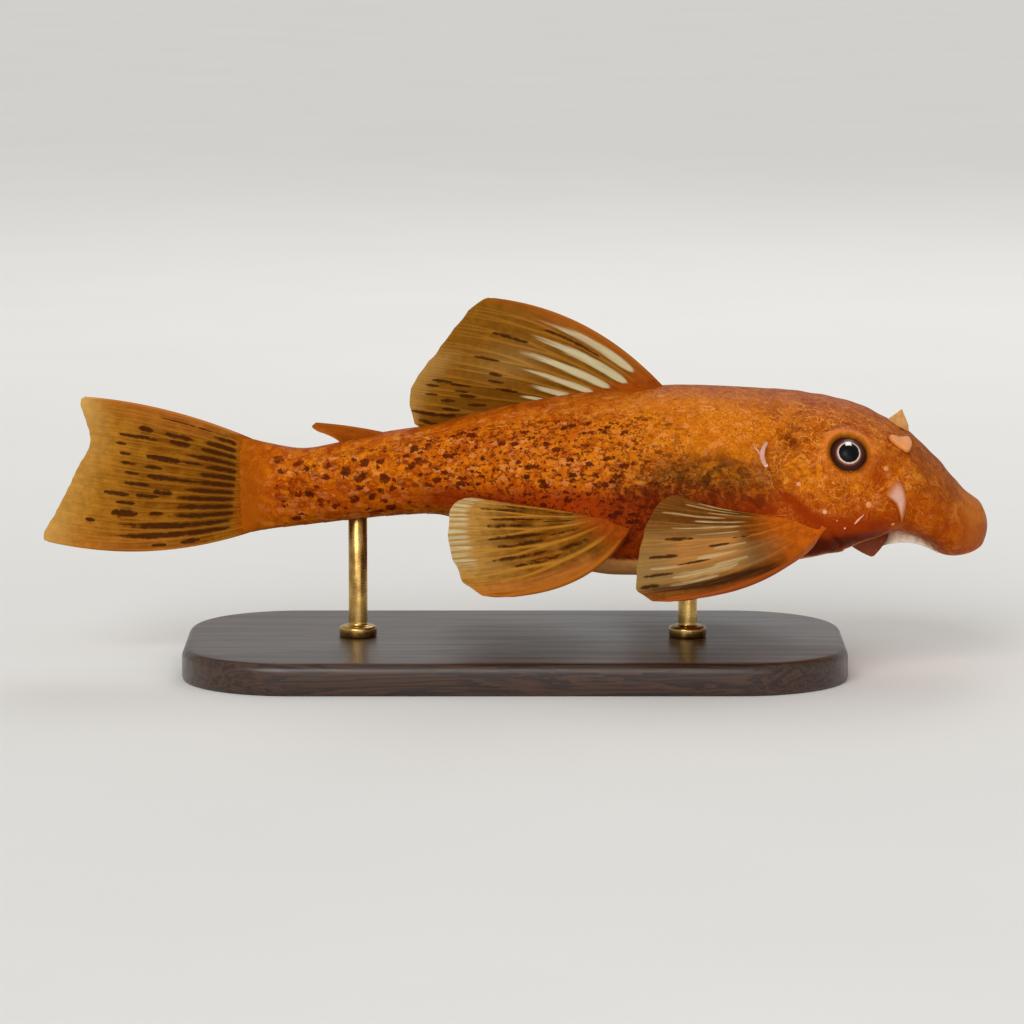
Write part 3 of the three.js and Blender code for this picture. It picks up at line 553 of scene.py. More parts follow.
def fin_paint(name, web, ray, edge, streak, root, spine, pale=(198, 188, 148)):
    """A fin: skin between rays, rays, far edge, dark streaks, fleshy root, leading spine and pale marks."""
    paint = Paint(name, Subsurface_Weight=0.15, Subsurface_Radius=(1.0, 0.6, 0.25), Subsurface_Scale=0.0008,
                  Specular_IOR_Level=0.11, Specular_Tint=(1.0, 0.65, 0.35, 1.0), IOR=1.37)
    spot = paint.place()

    def by_rays(along, beside):
        """A place among the rays, for a pattern that runs along them."""
        place = {"X": paint.times("along", along), "Y": paint.times("ray", beside)}
        return paint.node("CombineXYZ", "Vector", place)

    drawn = by_rays(5.0, 9.0)
    grain = paint.noise(drawn, 1.0, 4.0, 0.6)
    sweep = paint.noise(by_rays(2.6, 2.4), 1.0, 3.0, 0.55, 0.4)
    blur = paint.noise(spot, 0.5, 3.0)
    joints = paint.maths("FRACT", paint.maths("ADD", paint.times("along", 34.0), paint.times(blur, 1.5)))
    crest = paint.times(paint.step("ridge", 0.3, 0.6), paint.step("along", 0.25, 0.4))
    joint_line = paint.times(paint.step(joints, 0.16, 0.0), crest)
    ragged = paint.step(grain, 0.3, 0.62, (1.0, 0.45))
    worn = paint.step(grain, 0.34, 0.56, (0.6, 1.0))
    knobs = paint.step(paint.noise(spot, 1.1, 4.0, 0.6), 0.36, 0.64)
    frayed = paint.centred(paint.noise(drawn, 0.8, 5.0, 0.68), 1.8)
    crumbly = paint.centred(paint.noise(spot, 1.3, 3.0, 0.55), 1.6)

    def marks(name, edge_noise):
        """Marks of one kind, whose soft edges a noise moves in and out."""
        moved = paint.step(paint.maths("ADD", name, edge_noise), 0.1, 0.8)
        return paint.times(paint.step(name, 0.02, 0.3), moved)

    shade = paint.layers(
        streak,
        (paint.step(sweep, 0.36, 0.64), web),
        (paint.step("along", 0.5, 1.0), edge),
        (paint.step(blur, 0.35, 0.75, (0.0, 0.5)), edge),
        (paint.step(paint.noise(spot, 0.9, 4.0, 0.6), 0.62, 0.36, (0.0, 0.45)), streak),
        (paint.step("ridge", 0.2, 0.8), paint.step(grain, 0.3, 0.6, (0.35, 0.9)), ray),
        (paint.step(grain, 0.52, 0.7), 0.55, streak),
        (joint_line, 0.2, streak),
        ("warm", 0.85, ragged, (192, 110, 44)),
        ("grey", 0.85, ragged, (116, 88, 52)),
        ("spine", 0.75, spine),
        ("shadow", 0.8, streak),
        ("flesh", 0.95, paint.mix(knobs, colour(root, 0.68), root)),
        ("band", 0.92, worn, (52, 24, 8)),
        ("glow", 0.8, (206, 168, 96)),
        (marks("pale", frayed), 0.94, paint.step(sweep, 0.3, 0.5, (0.72, 1.0)), pale),
        (marks("dark", paint.maths("ADD", frayed, crumbly)), 0.92, (56, 23, 3)),
    )
    normal = paint.bump(joint_line, 0.04, -0.6, paint.bump(grain, 0.05, 0.5))
    rough = paint.step(grain, 0.3, 0.7, (0.42, 0.62))
    return paint.finished(Base_Color=shade, Roughness=rough, Normal=normal)


def eye_paint():
    paint = Paint("eye", Specular_IOR_Level=0.2, Coat_Weight=0.12, Coat_Roughness=0.02, Coat_IOR=1.33,
                  Roughness=0.4, IOR=1.36)
    spot = paint.place()
    ragged = paint.maths("MULTIPLY_ADD", paint.noise(spot, 4.0, 3.0), 0.1, "off")
    speckle = paint.noise(spot, 7.0, 3.0)
    brown = paint.mix(speckle, (34, 12, 8), (74, 32, 20))
    blush = paint.mix(paint.step(ragged, 1.5, 1.76), (132, 80, 62), brown)
    return paint.finished(Base_Color=paint.layers(
        paint.mix(speckle, (176, 128, 112), (250, 232, 220)),
        (paint.step(ragged, 1.39, 1.5), blush),
        (paint.step(ragged, 1.32, 1.26), (4, 3, 3)),
        ("lobe", 0.95, (255, 250, 240)),
    ))


def lip_paint():
    paint = Paint("lip", Subsurface_Weight=0.1, Subsurface_Radius=(1.0, 0.5, 0.3), Subsurface_Scale=0.001,
                  Specular_IOR_Level=0.25, Specular_Tint=(1.0, 0.8, 0.6, 1.0), IOR=1.4)
    spot = paint.place()
    mottle = paint.noise(spot, 1.4, 4.0, 0.6)
    shade = paint.layers(
        (238, 214, 184),
        (paint.step(mottle, 0.35, 0.7), (252, 240, 222)),
        # partly own brown, partly painted shade on the hind rim and the barbels
        ("hind", 0.98, (116, 42, 4)),
        ("throat", 0.9, (112, 40, 26)),
        (paint.step(paint.cells(spot, 2.2), 0.28, 0.1), 0.2, (206, 146, 104)),
    )
    return paint.finished(Base_Color=shade, Roughness=0.4, Normal=paint.bump(mottle, 0.06, 0.6))


def soft_paint(name, tint, second, rim=None):
    """Thin soft growths: flaps, feelers and warts. The attribute edge brings in the rim colour: painted shade
    at the edges, and a blend into the skin.
    """
    paint = Paint(name, Subsurface_Weight=0.15, Subsurface_Radius=(1.0, 0.5, 0.35), Subsurface_Scale=0.001,
                  Specular_IOR_Level=0.25, Specular_Tint=(1.0, 0.8, 0.6, 1.0), IOR=1.38)
    mottle = paint.noise(paint.place(), 1.6, 4.0, 0.6)
    shade = paint.layers(
        tint,
        (paint.step(mottle, 0.35, 0.68, (0.0, 0.5)), second),
        # painted shade: the darker rim colour towards the edges
        (paint.step("edge", 0.35, 0.9), rim or tint),
        ("rose", 0.9, (240, 190, 184)),
    )
    rough = paint.step(mottle, 0.3, 0.7, (0.38, 0.55))
    return paint.finished(Base_Color=shade, Roughness=rough, Normal=paint.bump(mottle, 0.08, 0.6))


def wood_paint():
    paint = Paint("stand_wood", Coat_Weight=0.3, Coat_Roughness=0.25, IOR=1.45)
    bend = paint.noise(paint.place(0.02, 0.2, 0.2), 1.0, 2.0, output="Color")
    grain = paint.noise(paint.shifted(paint.place(0.06, 1, 1), bend, 3.0), 0.55, 5.0, 0.6, 0.6)
    rings = paint.maths("FRACT", paint.times(grain, 7.0))
    pores = paint.step(paint.noise(paint.place(0.25, 4, 4), 1.0, 2.0), 0.62, 0.72)
    shade = paint.layers((70, 44, 29), (paint.step(rings, 0.1, 0.9), (38, 23, 16)), (pores, 0.6, (20, 12, 9)))
    rough = paint.step(grain, 0.3, 0.7, (0.34, 0.46))
    normal = paint.bump(pores, 0.05, -0.5, paint.bump(grain, 0.1, 0.3))
    return paint.finished(Base_Color=shade, Roughness=rough, Normal=normal)


def brass_paint():
    paint = Paint("stand_brass", Metallic=1.0)
    turned = paint.noise(paint.place(0.3, 0.3, 9), 1.0, 3.0)
    tarnish = paint.step(paint.noise(paint.place(), 0.35, 4.0, 0.6), 0.35, 0.75)
    shade = paint.mix(tarnish, (206, 168, 98), (150, 112, 58))
    rough = paint.step(turned, 0.3, 0.7, (0.2, 0.34))
    return paint.finished(Base_Color=shade, Roughness=rough, Normal=paint.bump(turned, 0.02, 0.4))


def floor_paint():
    paint = Paint("floor", Roughness=0.9, Specular_IOR_Level=0.1)
    cloud = paint.noise(paint.place(0.02, 0.02, 0.02), 1.0, 3.0)
    return paint.finished(Base_Color=paint.mix(cloud, (238, 237, 234), (243, 242, 239)))


# The skin


def ring_places():
    """Each ring's place along the fish, and how far along its plate it lies."""
    tip = SNOUT_X - np.linspace(FIRST_RING, math.sqrt(SNOUT_X - HEAD_RINGS[0][0]), SNOUT_RINGS) ** 2
    head = np.concatenate([np.linspace(*stretch)[1:] for stretch in HEAD_RINGS])[:-1]
    bent = PLATES["chevron"] + PLATES["scallop"]
    pitch = (PLATES["front"] - TAIL_END_X - bent) / PLATES["columns"]
    starts = PLATES["front"] - pitch * np.arange(PLATES["columns"])
    plated = (starts[:, None] - np.array(PLATE_PHASES) * pitch).ravel()
    end = np.linspace(TAIL_END_X + bent, STATIONS[-1, 0] + bent, END_RINGS)
    along = np.concatenate([0 * tip, 0 * head, np.tile(PLATE_PHASES, PLATES["columns"]), 0 * end])
    return np.concatenate([tip, head, plated, end]), along


def ring_angles():
    """Angles round a section, right side first and closer at the plates' borders, and each one's crest."""
    side, crests = [0.0], [0.0]
    for low, high, steps in zip(ROW_BORDERS, ROW_BORDERS[1:], ROW_STEPS):
        t = np.arange(1, steps + 1) / steps
        side += list(low + (high - low) * (t - 0.55 * np.sin(2 * math.pi * t) / (2 * math.pi)))
        crests += list(np.sin(math.pi * t) ** 2)
    belly = list(np.linspace(ROW_BORDERS[-1], 180, BELLY_STEPS + 1)[1:])
    angles = np.array(side + belly + [360 - a for a in reversed(side[1:] + belly[:-1])])
    half = crests + [0.0] * len(belly)
    return angles, np.array(half + list(reversed(half[1:-1])))


def distance_to_line(x, z, line):
    """Distance in the side view to a line of points, and which side of it a point lies on."""
    best, side = np.full(np.shape(x), 1e9), np.zeros(np.shape(x))
    for (x0, z0), (x1, z1) in zip(line, line[1:]):
        dx, dz = x1 - x0, z1 - z0
        t = np.clip(((x - x0) * dx + (z - z0) * dz) / (dx * dx + dz * dz), 0, 1)
        away = np.hypot(x - x0 - t * dx, z - z0 - t * dz)
        nearer = away < best
        best = np.where(nearer, away, best)
        side = np.where(nearer, np.sign((x - x0) * dz - (z - z0) * dx), side)
    return best, side


ORBIT_REACH = 5.4
ORBIT_RELIEF = monotone_curve(
    [0, 1.3, 1.7, 1.95, 2.15, 2.5, 3.0, 3.5, 4.3, ORBIT_REACH],
    [-1.9, -1.7, -0.95, -0.25, 0.04, 0.2, 0.4, 0.3, 0.08, 0],
)
NOSTRIL_DOTS = ((48.9, 10.5), (48.9, -10.5))  # place, and degrees from the middle of the back
PIT = {"hole": (0.5, 0.5), "rim": (0.12, 1.0, 0.35)}  # depth and width; height, radius and width
DOT = {"hole": (0.35, 0.3), "rim": (0.12, 0.7, 0.25)}


def orbit(points):
    """Distance from the nearer eye's axis, how far the place lies above the eye, and the relief there."""
    off, above = np.full(points.shape[:-1], 99.0), np.zeros(points.shape[:-1])
    for side in (RIGHT, LEFT):
        centre, out = skin_point(EYE["x"], EYE["z"], side), skin_normal(EYE["x"], EYE["z"], side)
        v = points - centre
        flat = v - (v @ out)[..., None] * out
        r = np.linalg.norm(flat, axis=-1)
        here = (r < off) & (v @ out > -4)
        off = np.where(here, r, off)
        above = np.where(here, flat[..., 2] / np.maximum(r, 0.1), above)
    relief = ORBIT_RELIEF(off) + 0.22 * np.clip(above, 0, 1) * bell(off, 3.0, 0.6)
    return off, above, np.where(off > ORBIT_REACH, 0, relief)


def pit_relief(points, centre, pit):
    away = np.linalg.norm(points - centre, axis=-1)
    (depth, width), (height, radius, rim_width) = pit["hole"], pit["rim"]
    return height * bell(away, radius, rim_width) - depth * bell(away, 0, width)


def skin_relief(points, angle, along, crest):
    """How far the skin stands out from the smooth body, in millimetres."""
    x, z = points[..., 0], points[..., 2]
    turn = np.minimum(angle, 360 - angle)
    covered = np.maximum(smooth(turn, 146, 138), smooth(x, BARE_BELLY_FROM_X, BARE_BELLY_FROM_X - 3))
    front = PLATES["front"]
    covered = covered * between(x, TAIL_END_X - 0.5, TAIL_END_X + 2, front - 3, front + 0.5)
    rise = np.where(along <= PLATE_REAR, (along / PLATE_REAR) ** 1.4, (1 - along) / (1 - PLATE_REAR))
    border = np.min([np.abs(turn - b) for b in ROW_BORDERS[1:]], axis=0)
    plates = PLATES["lift"] * rise + PLATES["keel"] * crest - PLATES["seam"] * bell(border, 0, 1.3)
    relief = covered * plates * (0.3 + 0.7 * smooth(turn, 16, 34))

    gill, ahead = distance_to_line(x, z, GILL_LINE)
    groove = 0.2 * np.where(ahead > 0, bell(gill, 0.7, 0.9), 0) - 0.34 * bell(gill, 0, 0.32)
    shoulder = bell(x, 36.0, 3.4) * bell(z, -0.2, 2.8) * smooth(turn, 60, 90)
    hip = bell(x, 12.0, 3.2) * bell(z, -1.2, 2.6) * smooth(turn, 60, 100)
    relief = relief + smooth(z, 13, 9) * smooth(turn, 25, 40) * groove + 0.55 * shoulder + 0.35 * hip

    waves = np.sin(0.9 * x + 1.3 * np.sin(0.7 * z)) * np.sin(0.8 * z + 0.5 * x)
    waves = waves + 0.6 * np.sin(1.9 * x - 1.1 * z)
    relief = relief + 0.05 * waves * between(x, 29, 34, SNOUT_X - 3, SNOUT_X)
    for side in (RIGHT, LEFT):
        relief = relief + pit_relief(points, skin_point(*NOSTRIL, side), PIT)
    for place in NOSTRIL_DOTS:
        relief = relief + pit_relief(points, body_points(*place), DOT)
    return relief


def skin_zones(points, angle, off, above):
    """Where each tint of the skin, and each painted light and shade, lies, as shares from 0 to 1."""
    x, z = points[..., 0], points[..., 2]
    turn = np.minimum(angle, 360 - angle)
    gill = distance_to_line(x, z, GILL_LINE)[0]
    dots = [np.linalg.norm(points - body_points(*place), axis=-1) for place in NOSTRIL_DOTS]
    side = smooth(turn, 26, 42)
    # painted shade: the lower flank darker, away from the light above
    low = smooth(z, 6.2, 2.2) * smooth(turn, 60, 84)
    fold = bell(gill, 0.1, 0.6) * between(z, -1, 1.5, 4.0, 5.2)
    flank = smooth(turn, 152, 128)
    # painted shade low on the side of the head, below the cheek
    jaw_shade = smooth(z, 2.6, 0.2) * between(x, 34, 37, 45, 49) * flank
    chin = smooth(x, 26, 35)
    # painted shadow on the flank behind the pectoral fin
    fin_shadow = smooth(z, 6.2, 4.4) * between(x, 9, 15, 30, 33) * smooth(turn, 60, 78)
    cheek = bell(x, 34.6, 1.5) * bell(z, 10.6, 1.5)
    eye_corner = bell(off, 2.45, 0.5) * smooth(above, -0.5, -0.9)
    specked = between(turn, 28, 42, 100, 116) * between(x, -32.5, -30, 13, 27)
    # The red tint: darker red along the gill fold and in a patch below the eye, and painted shade on the
    # lower flank and under the jaw
    red = low * (0.7 * between(x, -16, -8, 30, 36) * smooth(turn, 136, 116) + 0.45 * smooth(turn, 150, 130))
    red = red + 1.2 * fold + 0.6 * bell(x, 45.4, 2.2) * bell(z, 6.8, 1.7) + 0.6 * jaw_shade
    tail_side = between(turn, 30, 50, 135, 160)
    return {
        "dashes": specked * (1 - 0.5 * smooth(x, -9, -15)) + 0.8 * bell(x, 24, 5) * bell(z, 6.0, 2.2) * side,
        "blotches": tail_side * between(x, -31.6, -29.6, -13, -7),
        "swirls": (0.35 + 0.65 * smooth(x, 4, 22)) * smooth(turn, 118, 98) * between(x, -10, 4, 47, 57),
        # painted light: the upper flank lighter where the light from above falls, and a lighter spot on the
        # cheek
        "bright": 0.6 * between(x, 8, 16, 30, 38) * between(turn, 6, 18, 56, 72)
        + 0.5 * bell(x, 40.2, 2.2) * bell(z, 5.0, 1.8),
        "clouds": 0.6 * between(x, 26, 32, 54, 59),
        # painted highlight: a pinkish sheen along the top of the head
        "painted_sheen": smooth(turn, 22, 3) * bell(x, 41, 6),
        "back": smooth(turn, 32, 10) * smooth(x, 52, 46),
        "tan": smooth(x, 54.5, 57.5) * smooth(turn, 135, 105),
        "brown": between(x, 47.5, 51, 54, 57.5) * (0.45 + 0.4 * smooth(turn, 75, 40)),
        "olive": np.clip(1.35 * bell(x, 23.5, 8) * bell(z, 6.3, 2.5), 0, 1) * side,
        # dark patches on the cheek and below the eye, and painted shadow behind the pectoral fin
        "dark": np.clip(0.85 * fin_shadow + 0.9 * cheek + 0.9 * eye_corner, 0, 1),
        "red": np.clip(red, 0, 1),
        # painted shade under the head, below the cheeks
        "under": smooth(z, -0.4, -1.8) * between(x, 33, 36.5, 45.5, 47.5) * flank,
        "belly": smooth(turn, 118 + 18 * chin, 134 + 20 * chin) * between(x, -12, -1, 43, 48),
        "rim": bell(off, 3.15, 0.4) * (0.3 + 0.7 * smooth(above, -0.3, 0.7)),
        "gold": smooth(off, 2.9, 2.65) * (0.35 + 0.6 * smooth(above, -0.6, 0.4)),
        "socket": smooth(off, 2.62, 2.2),
        # painted shade: the nostril dots dark inside
        "pit": smooth(np.minimum(*dots), 0.5, 0.25),
        "tail_end": 0.75 * smooth(x, -30.0, -33.8),
    }


def make_skin(material):
    places, along = ring_places()
    angles, crest = ring_angles()
    x, angle = np.meshgrid(places, angles, indexing="ij")
    along, crest = along[:, None] + 0 * x, crest[None, :] + 0 * x
    bending = smooth(x, 40, PLATES["front"])
    x = x - bending * (PLATES["chevron"] * np.abs(np.sin(np.radians(angle))) + PLATES["scallop"] * crest)
    points = body_points(x, angle)
    out = unit(np.cross(np.gradient(points, axis=0), np.gradient(points, axis=1)))
    outward = points - np.stack([x, sway(x), level_at(x)], -1)
    out = out * np.sign((out * outward).sum(-1, keepdims=True))
    off, above, orbit_rise = orbit(points)
    relief = skin_relief(points, angle, along, crest) + orbit_rise
    shares = skin_zones(points, angle, off, above)
    shape = closed_loft(points + out * relief[..., None])
    attributes = {
        key: np.append(share.ravel(), [share[0].mean(), share[-1].mean()]) for key, share in shares.items()
    }
    add_piece("skin", shape, material, ("head", "trunk", "tail"), attributes)


# The eyes

IRIS = {"pupil": 1.24, "ring": 1.5, "proud": 0.05, "cornea": 0.16}
GAZE = {"turn": 0.54, "lift": 0.1}  # the eye looks less far up than the skin round it faces
LOBE = {"half": 0.34, "inner": 0.88, "outer": 1.42}  # the pale highlight that hangs over the pupil from above
EYE_GRID = (90, 96)  # rings from front to back, and points round each


def make_eye(side, material):
    facing = skin_normal(EYE["x"], EYE["z"], side)
    centre = skin_point(EYE["x"], EYE["z"], side, EYE["bulge"] - EYE["radius"])
    out = unit(facing * (GAZE["turn"], 1, GAZE["turn"]) + (0, 0, GAZE["lift"]))
    up, aside = across(out, UP)
    tilt = np.linspace(0.01, math.pi - 0.01, EYE_GRID[0])
    tilt, turn = np.meshgrid(tilt, round_turn(EYE_GRID[1]), indexing="ij")
    off = EYE["radius"] * np.sin(tilt)
    front = np.cos(tilt) > 0
    ring = between(off, IRIS["pupil"] - 0.08, IRIS["pupil"] + 0.06, IRIS["ring"], IRIS["ring"] + 0.2)
    swell = IRIS["cornea"] * smooth(off, 1.9, 0.4) + IRIS["proud"] * ring
    radius = (EYE["radius"] + np.where(front, swell, 0))[..., None]
    flat = np.cos(turn)[..., None] * up + np.sin(turn)[..., None] * aside
    points = centre + radius * (np.cos(tilt)[..., None] * out + np.sin(tilt)[..., None] * flat)
    from_top = np.abs((turn + math.pi) % (2 * math.pi) - math.pi)
    half, inner, outer = LOBE["half"], LOBE["inner"], LOBE["outer"]
    lobe = smooth(off * np.sin(from_top), half + 0.06, half - 0.04) * (from_top < 1) * front
    lobe = lobe * between(off, inner - 0.05, inner + 0.05, outer, outer + 0.08)
    attributes = {
        "off": np.append(np.where(front, off, EYE["radius"]).ravel(), [0, EYE["radius"]]),
        "lobe": np.append(lobe.ravel(), [0, 0]),
    }
    name = "eye_right" if side == RIGHT else "eye_left"
    add_piece(name + "_ball", closed_loft(points), material, (name,), attributes)


# The sucker mouth

# Share of the disc's radius and height above its rim, from the throat out over the lips and round the back
LIP_SHAPE = (
    (0.03, 1.25), (0.12, 1.2), (0.24, 1.0), (0.3, 0.5), (0.36, 0.42), (0.46, 0.5), (0.6, 0.46), (0.74, 0.36),
    (0.88, 0.06), (0.95, -0.02), (1.0, 0.16), (0.99, 0.6), (0.93, 1.2), (0.8, 1.8), (0.5, 2.3), (0.05, 2.4),
)
LIP_RADIUS = (MOUTH["half"] + MOUTH["half_width"]) / 2
LIP_GRID = (120, 180)  # rings over the lips, and points round each
LIP_FRONT_ROWS = 84  # the rows that face down
PAPILLAE = {"rows": 9, "first": 0.36, "last": 0.93, "height": 0.13, "pitch": 0.62, "shift": 1.7}
FRILL = {"height": 0.012, "waves": 23}


def make_mouth(material):
    rows, around = LIP_GRID
    shape = spaced_curve([(share, height, 0) for share, height in LIP_SHAPE])(np.linspace(0, 1, rows))
    share, turn = np.meshgrid(shape[:, 0], round_turn(around), indexing="ij")
    under = (np.arange(rows) < LIP_FRONT_ROWS)[:, None] & (share > 0)
    band = (share - PAPILLAE["first"]) / (PAPILLAE["last"] - PAPILLAE["first"]) * PAPILLAE["rows"]
    count = np.maximum(np.round(2 * math.pi * share * LIP_RADIUS / PAPILLAE["pitch"]), 1)
    along_row = count * turn / 2 + np.floor(band) * PAPILLAE["shift"]
    dots = np.abs(np.sin(math.pi * band) * np.sin(along_row))
    dots = np.where(under & (band > 0) & (band < PAPILLAE["rows"]), dots, 0)
    cosine = np.cos(turn)
    frill = 1 + FRILL["height"] * np.sin(FRILL["waves"] * turn) * smooth(share, 0.8, 1.0)
    end = np.where(cosine > 0, MOUTH["front"], MOUTH["rear"])
    rim = MOUTH["middle"] + (end - MOUTH["middle"]) * (cosine * share) ** 2
    x = MOUTH["x"] + MOUTH["half"] * share * cosine * frill
    y = MOUTH["half_width"] * share * np.sin(turn) * frill
    disc = closed_loft(np.stack([x, y, rim + shape[:, 1:2] - PAPILLAE["height"] * dots], -1))
    points, faces = joined([disc, barbel(RIGHT), barbel(LEFT)])
    # the hind rim and the barbels: partly their own brown, partly painted shade under the head
    hind = smooth(cosine, -0.3, -0.55) * smooth(share, 0.5, 0.85)
    throat = smooth(share, 0.3, 0.2) * under
    spare = len(points) - share.size - 2
    attributes = {
        "hind": np.append(hind.ravel(), [0, 0] + [1] * spare),
        "throat": np.append(throat.ravel(), [1, 0] + [0] * spare),
    }
    add_piece("mouth_disc", (points, faces), material, ("mouth",), attributes)


def barbel(side):
    """The short broad flap that hangs at each corner of the mouth."""
    root, tip = (BARBEL[end] * np.array([1, side, 1]) for end in ("root", "tip"))
    return leaf(root, tip, (0.1, side, 0.2), BARBEL["width"], BARBEL["thickness"], BARBEL_OUTLINE)


# Growths on the face

# Half widths of the flaps that hang or stand free, along their length
BARBEL_OUTLINE = monotone_curve([0, 0.3, 0.7, 1], [0.5, 0.46, 0.26, 0.04])
FAR_FLAP_OUTLINE = monotone_curve([0, 0.3, 0.55, 0.8, 1], [0.6, 0.5, 0.34, 0.16, 0.03])
LEAF_CURL = 0.1

# Outlines of the flat soft flaps that lie on the face, as places (x, z), and where each is rooted in the skin
NASAL_FLAP = (
    (46.7, 10.5), (47.5, 10.55), (48.4, 10.4), (49.5, 10.15), (49.8, 9.5), (49.6, 9.0), (49.1, 8.55),
    (48.3, 9.0), (47.5, 9.6), (46.8, 10.15),
)
NASAL_ROOT = (48.6, 10.4)
TENTACLE = (
    (47.6, 5.85), (48.2, 5.55), (48.65, 4.6), (48.85, 3.4), (48.8, 2.5), (48.6, 1.6), (48.25, 0.55),
    (47.95, 1.4), (47.45, 2.75), (47.0, 3.2), (46.2, 4.0), (46.6, 4.8), (47.1, 5.5),
)
TENTACLE_ROOT = (47.8, 5.6)

# Small warts on the face: place, radius, and how rosy each is
WARTS = (
    (41.8, 6.75, 0.3, 0.35), (44.0, 6.7, 0.2, 0.2), (46.3, 7.15, 0.36, 0.1), (38.5, 2.0, 0.42, 0.55),
    (35.3, 5.5, 0.3, 0.3), (44.1, 2.8, 0.42, 0.15), (41.1, -0.1, 0.15, 0.9), (47.2, 0.2, 0.3, 0.05),
    (40.1, 0.9, 0.18, 0.15), (31.1, 7.7, 0.42, 1.0),
)
# A fine pale crease: path over the skin (x, z), greatest radius and how rosy it is
CREASE = ((42.3, 0.4), (42.8, 0.95), (43.5, 1.6))
CREASE_RADIUS = 0.17
CREASE_ROSE = 0.4
CREASE_STEPS = 14
# The short spines behind the cheek: path (x, z, height above the skin) and greatest radius
CHEEK_SPINES = (
    (((31.1, 7.8, 0.0), (30.8, 8.6, 0.3), (30.9, 9.4, 0.4), (31.4, 10.3, 0.1)), 0.34),
    (((30.8, 8.7, 0.1), (30.3, 9.3, 0.22), (29.8, 9.9, 0.1)), 0.13),
)
SPINE_STEPS = 20


def leaf(root, tip, face_out, width, thickness, outline, rows=28, sides=26):
    """A flat soft flap: outline gives its half width by the share of its length."""
    thin, wide = across(tip - root, face_out)
    rings = []
    for t in np.linspace(0, 1, rows):
        half = max(float(outline(t)), 0.02)
        depth = thickness / 2 * (1 - 0.75 * t) * min(1.0, 0.3 + half)
        middle = root + (tip - root) * t + thin * LEAF_CURL * math.sin(math.pi * t)
        rings.append(middle + ellipse(sides, thin * depth, wide * half * width))
    return closed_loft(rings)


def pad(outline, side, root, lift, thickness, rings=12, around=72):
    """A flat soft flap: its outline lies over the skin, and it stands further off it away from its root."""
    closed = [(x, z, 0) for x, z in (outline[-1], *outline, *outline[:2])]
    spans = len(outline) + 2
    rim = spaced_curve(closed)((1 + np.arange(around) / around * len(outline)) / spans)[:, :2]
    middle = rim.mean(0)
    reach = np.linalg.norm(rim - root, axis=1).max()

    def ring(share, thick):
        points = []
        for x, z in middle + (rim - middle) * share:
            free = smooth(math.hypot(x - root[0], z - root[1]) / reach, 0.1, 1.0)
            points.append(skin_point(x, z, side, -0.12 + lift * float(free) + thick))
        return points

    shares = np.linspace(0.06, 1, rings)
    top = [ring(share, thickness * (1 - share**3) ** 0.5) for share in shares]
    bottom = [ring(share, -0.1) for share in (0.97, 0.7, 0.4, 0.1)]
    # how far each point lies towards the edge, for the painted shade there
    edges = np.concatenate([np.repeat(shares, around), np.ones(4 * around), [0, 1]])
    return closed_loft(top + bottom), edges


def crease(side):
    steps = np.linspace(0, 1, CREASE_STEPS)
    line = spaced_curve([skin_point(x, z, side, 0.03) for x, z in CREASE])(steps)
    return tube(line, CREASE_RADIUS * np.interp(steps, [0, 0.4, 1], [0.5, 1, 0.3]))


def cheek_spine(path, radius, side):
    steps = np.linspace(0, 1, SPINE_STEPS)
    line = spaced_curve([skin_point(x, z, side, proud) for x, z, proud in path])(steps)
    return tube(line, radius * (0.35 + 0.65 * np.sin(math.pi * np.clip(0.25 + 0.62 * steps, 0, 1))))


def make_face(cream, peach, lilac, pale):
    root = skin_point(49.1, 10.9, LEFT, -0.9) + (-0.75, 0, 0)
    far_flap = leaf(root, root + (0.65, 0.3, 2.3), (0.15, 1, 0.1), 2.7, 1.3, FAR_FLAP_OUTLINE)
    add_piece("nasal_flap_left", far_flap, cream)
    flap, edges = pad(NASAL_FLAP, RIGHT, NASAL_ROOT, 0.45, 0.45)
    add_piece("nasal_flap_right", flap, peach, attributes={"edge": edges**4})
    tentacles, edges = zip(*(pad(TENTACLE, side, TENTACLE_ROOT, 0.4, 0.42) for side in (RIGHT, LEFT)))
    add_piece("cheek_tentacles", joined(tentacles), lilac, attributes={"edge": np.concatenate(edges)})
    growths, rosy = [], []
    for side in (RIGHT, LEFT):
        for x, z, radius, rose in WARTS:
            growths.append(dome(skin_point(x, z, side), skin_normal(x, z, side), radius))
            rosy.append(rose)
        growths.append(crease(side))
        rosy.append(CREASE_ROSE)
    rosy = np.repeat(rosy, [len(points) for points, _ in growths])
    add_piece("warts", joined(growths), pale, attributes={"rose": rosy})
    spines = [cheek_spine(*spine, side) for side in (RIGHT, LEFT) for spine in CHEEK_SPINES]
    add_piece("cheek_spines", joined(spines), lilac)


# Fins

# Each parting of a ray: from and to which share of its length, and how far its halves part
SPLIT_FIRST = (0.38, 0.72, 0.19)
SPLIT_SECOND = (0.66, 0.95, 0.085)
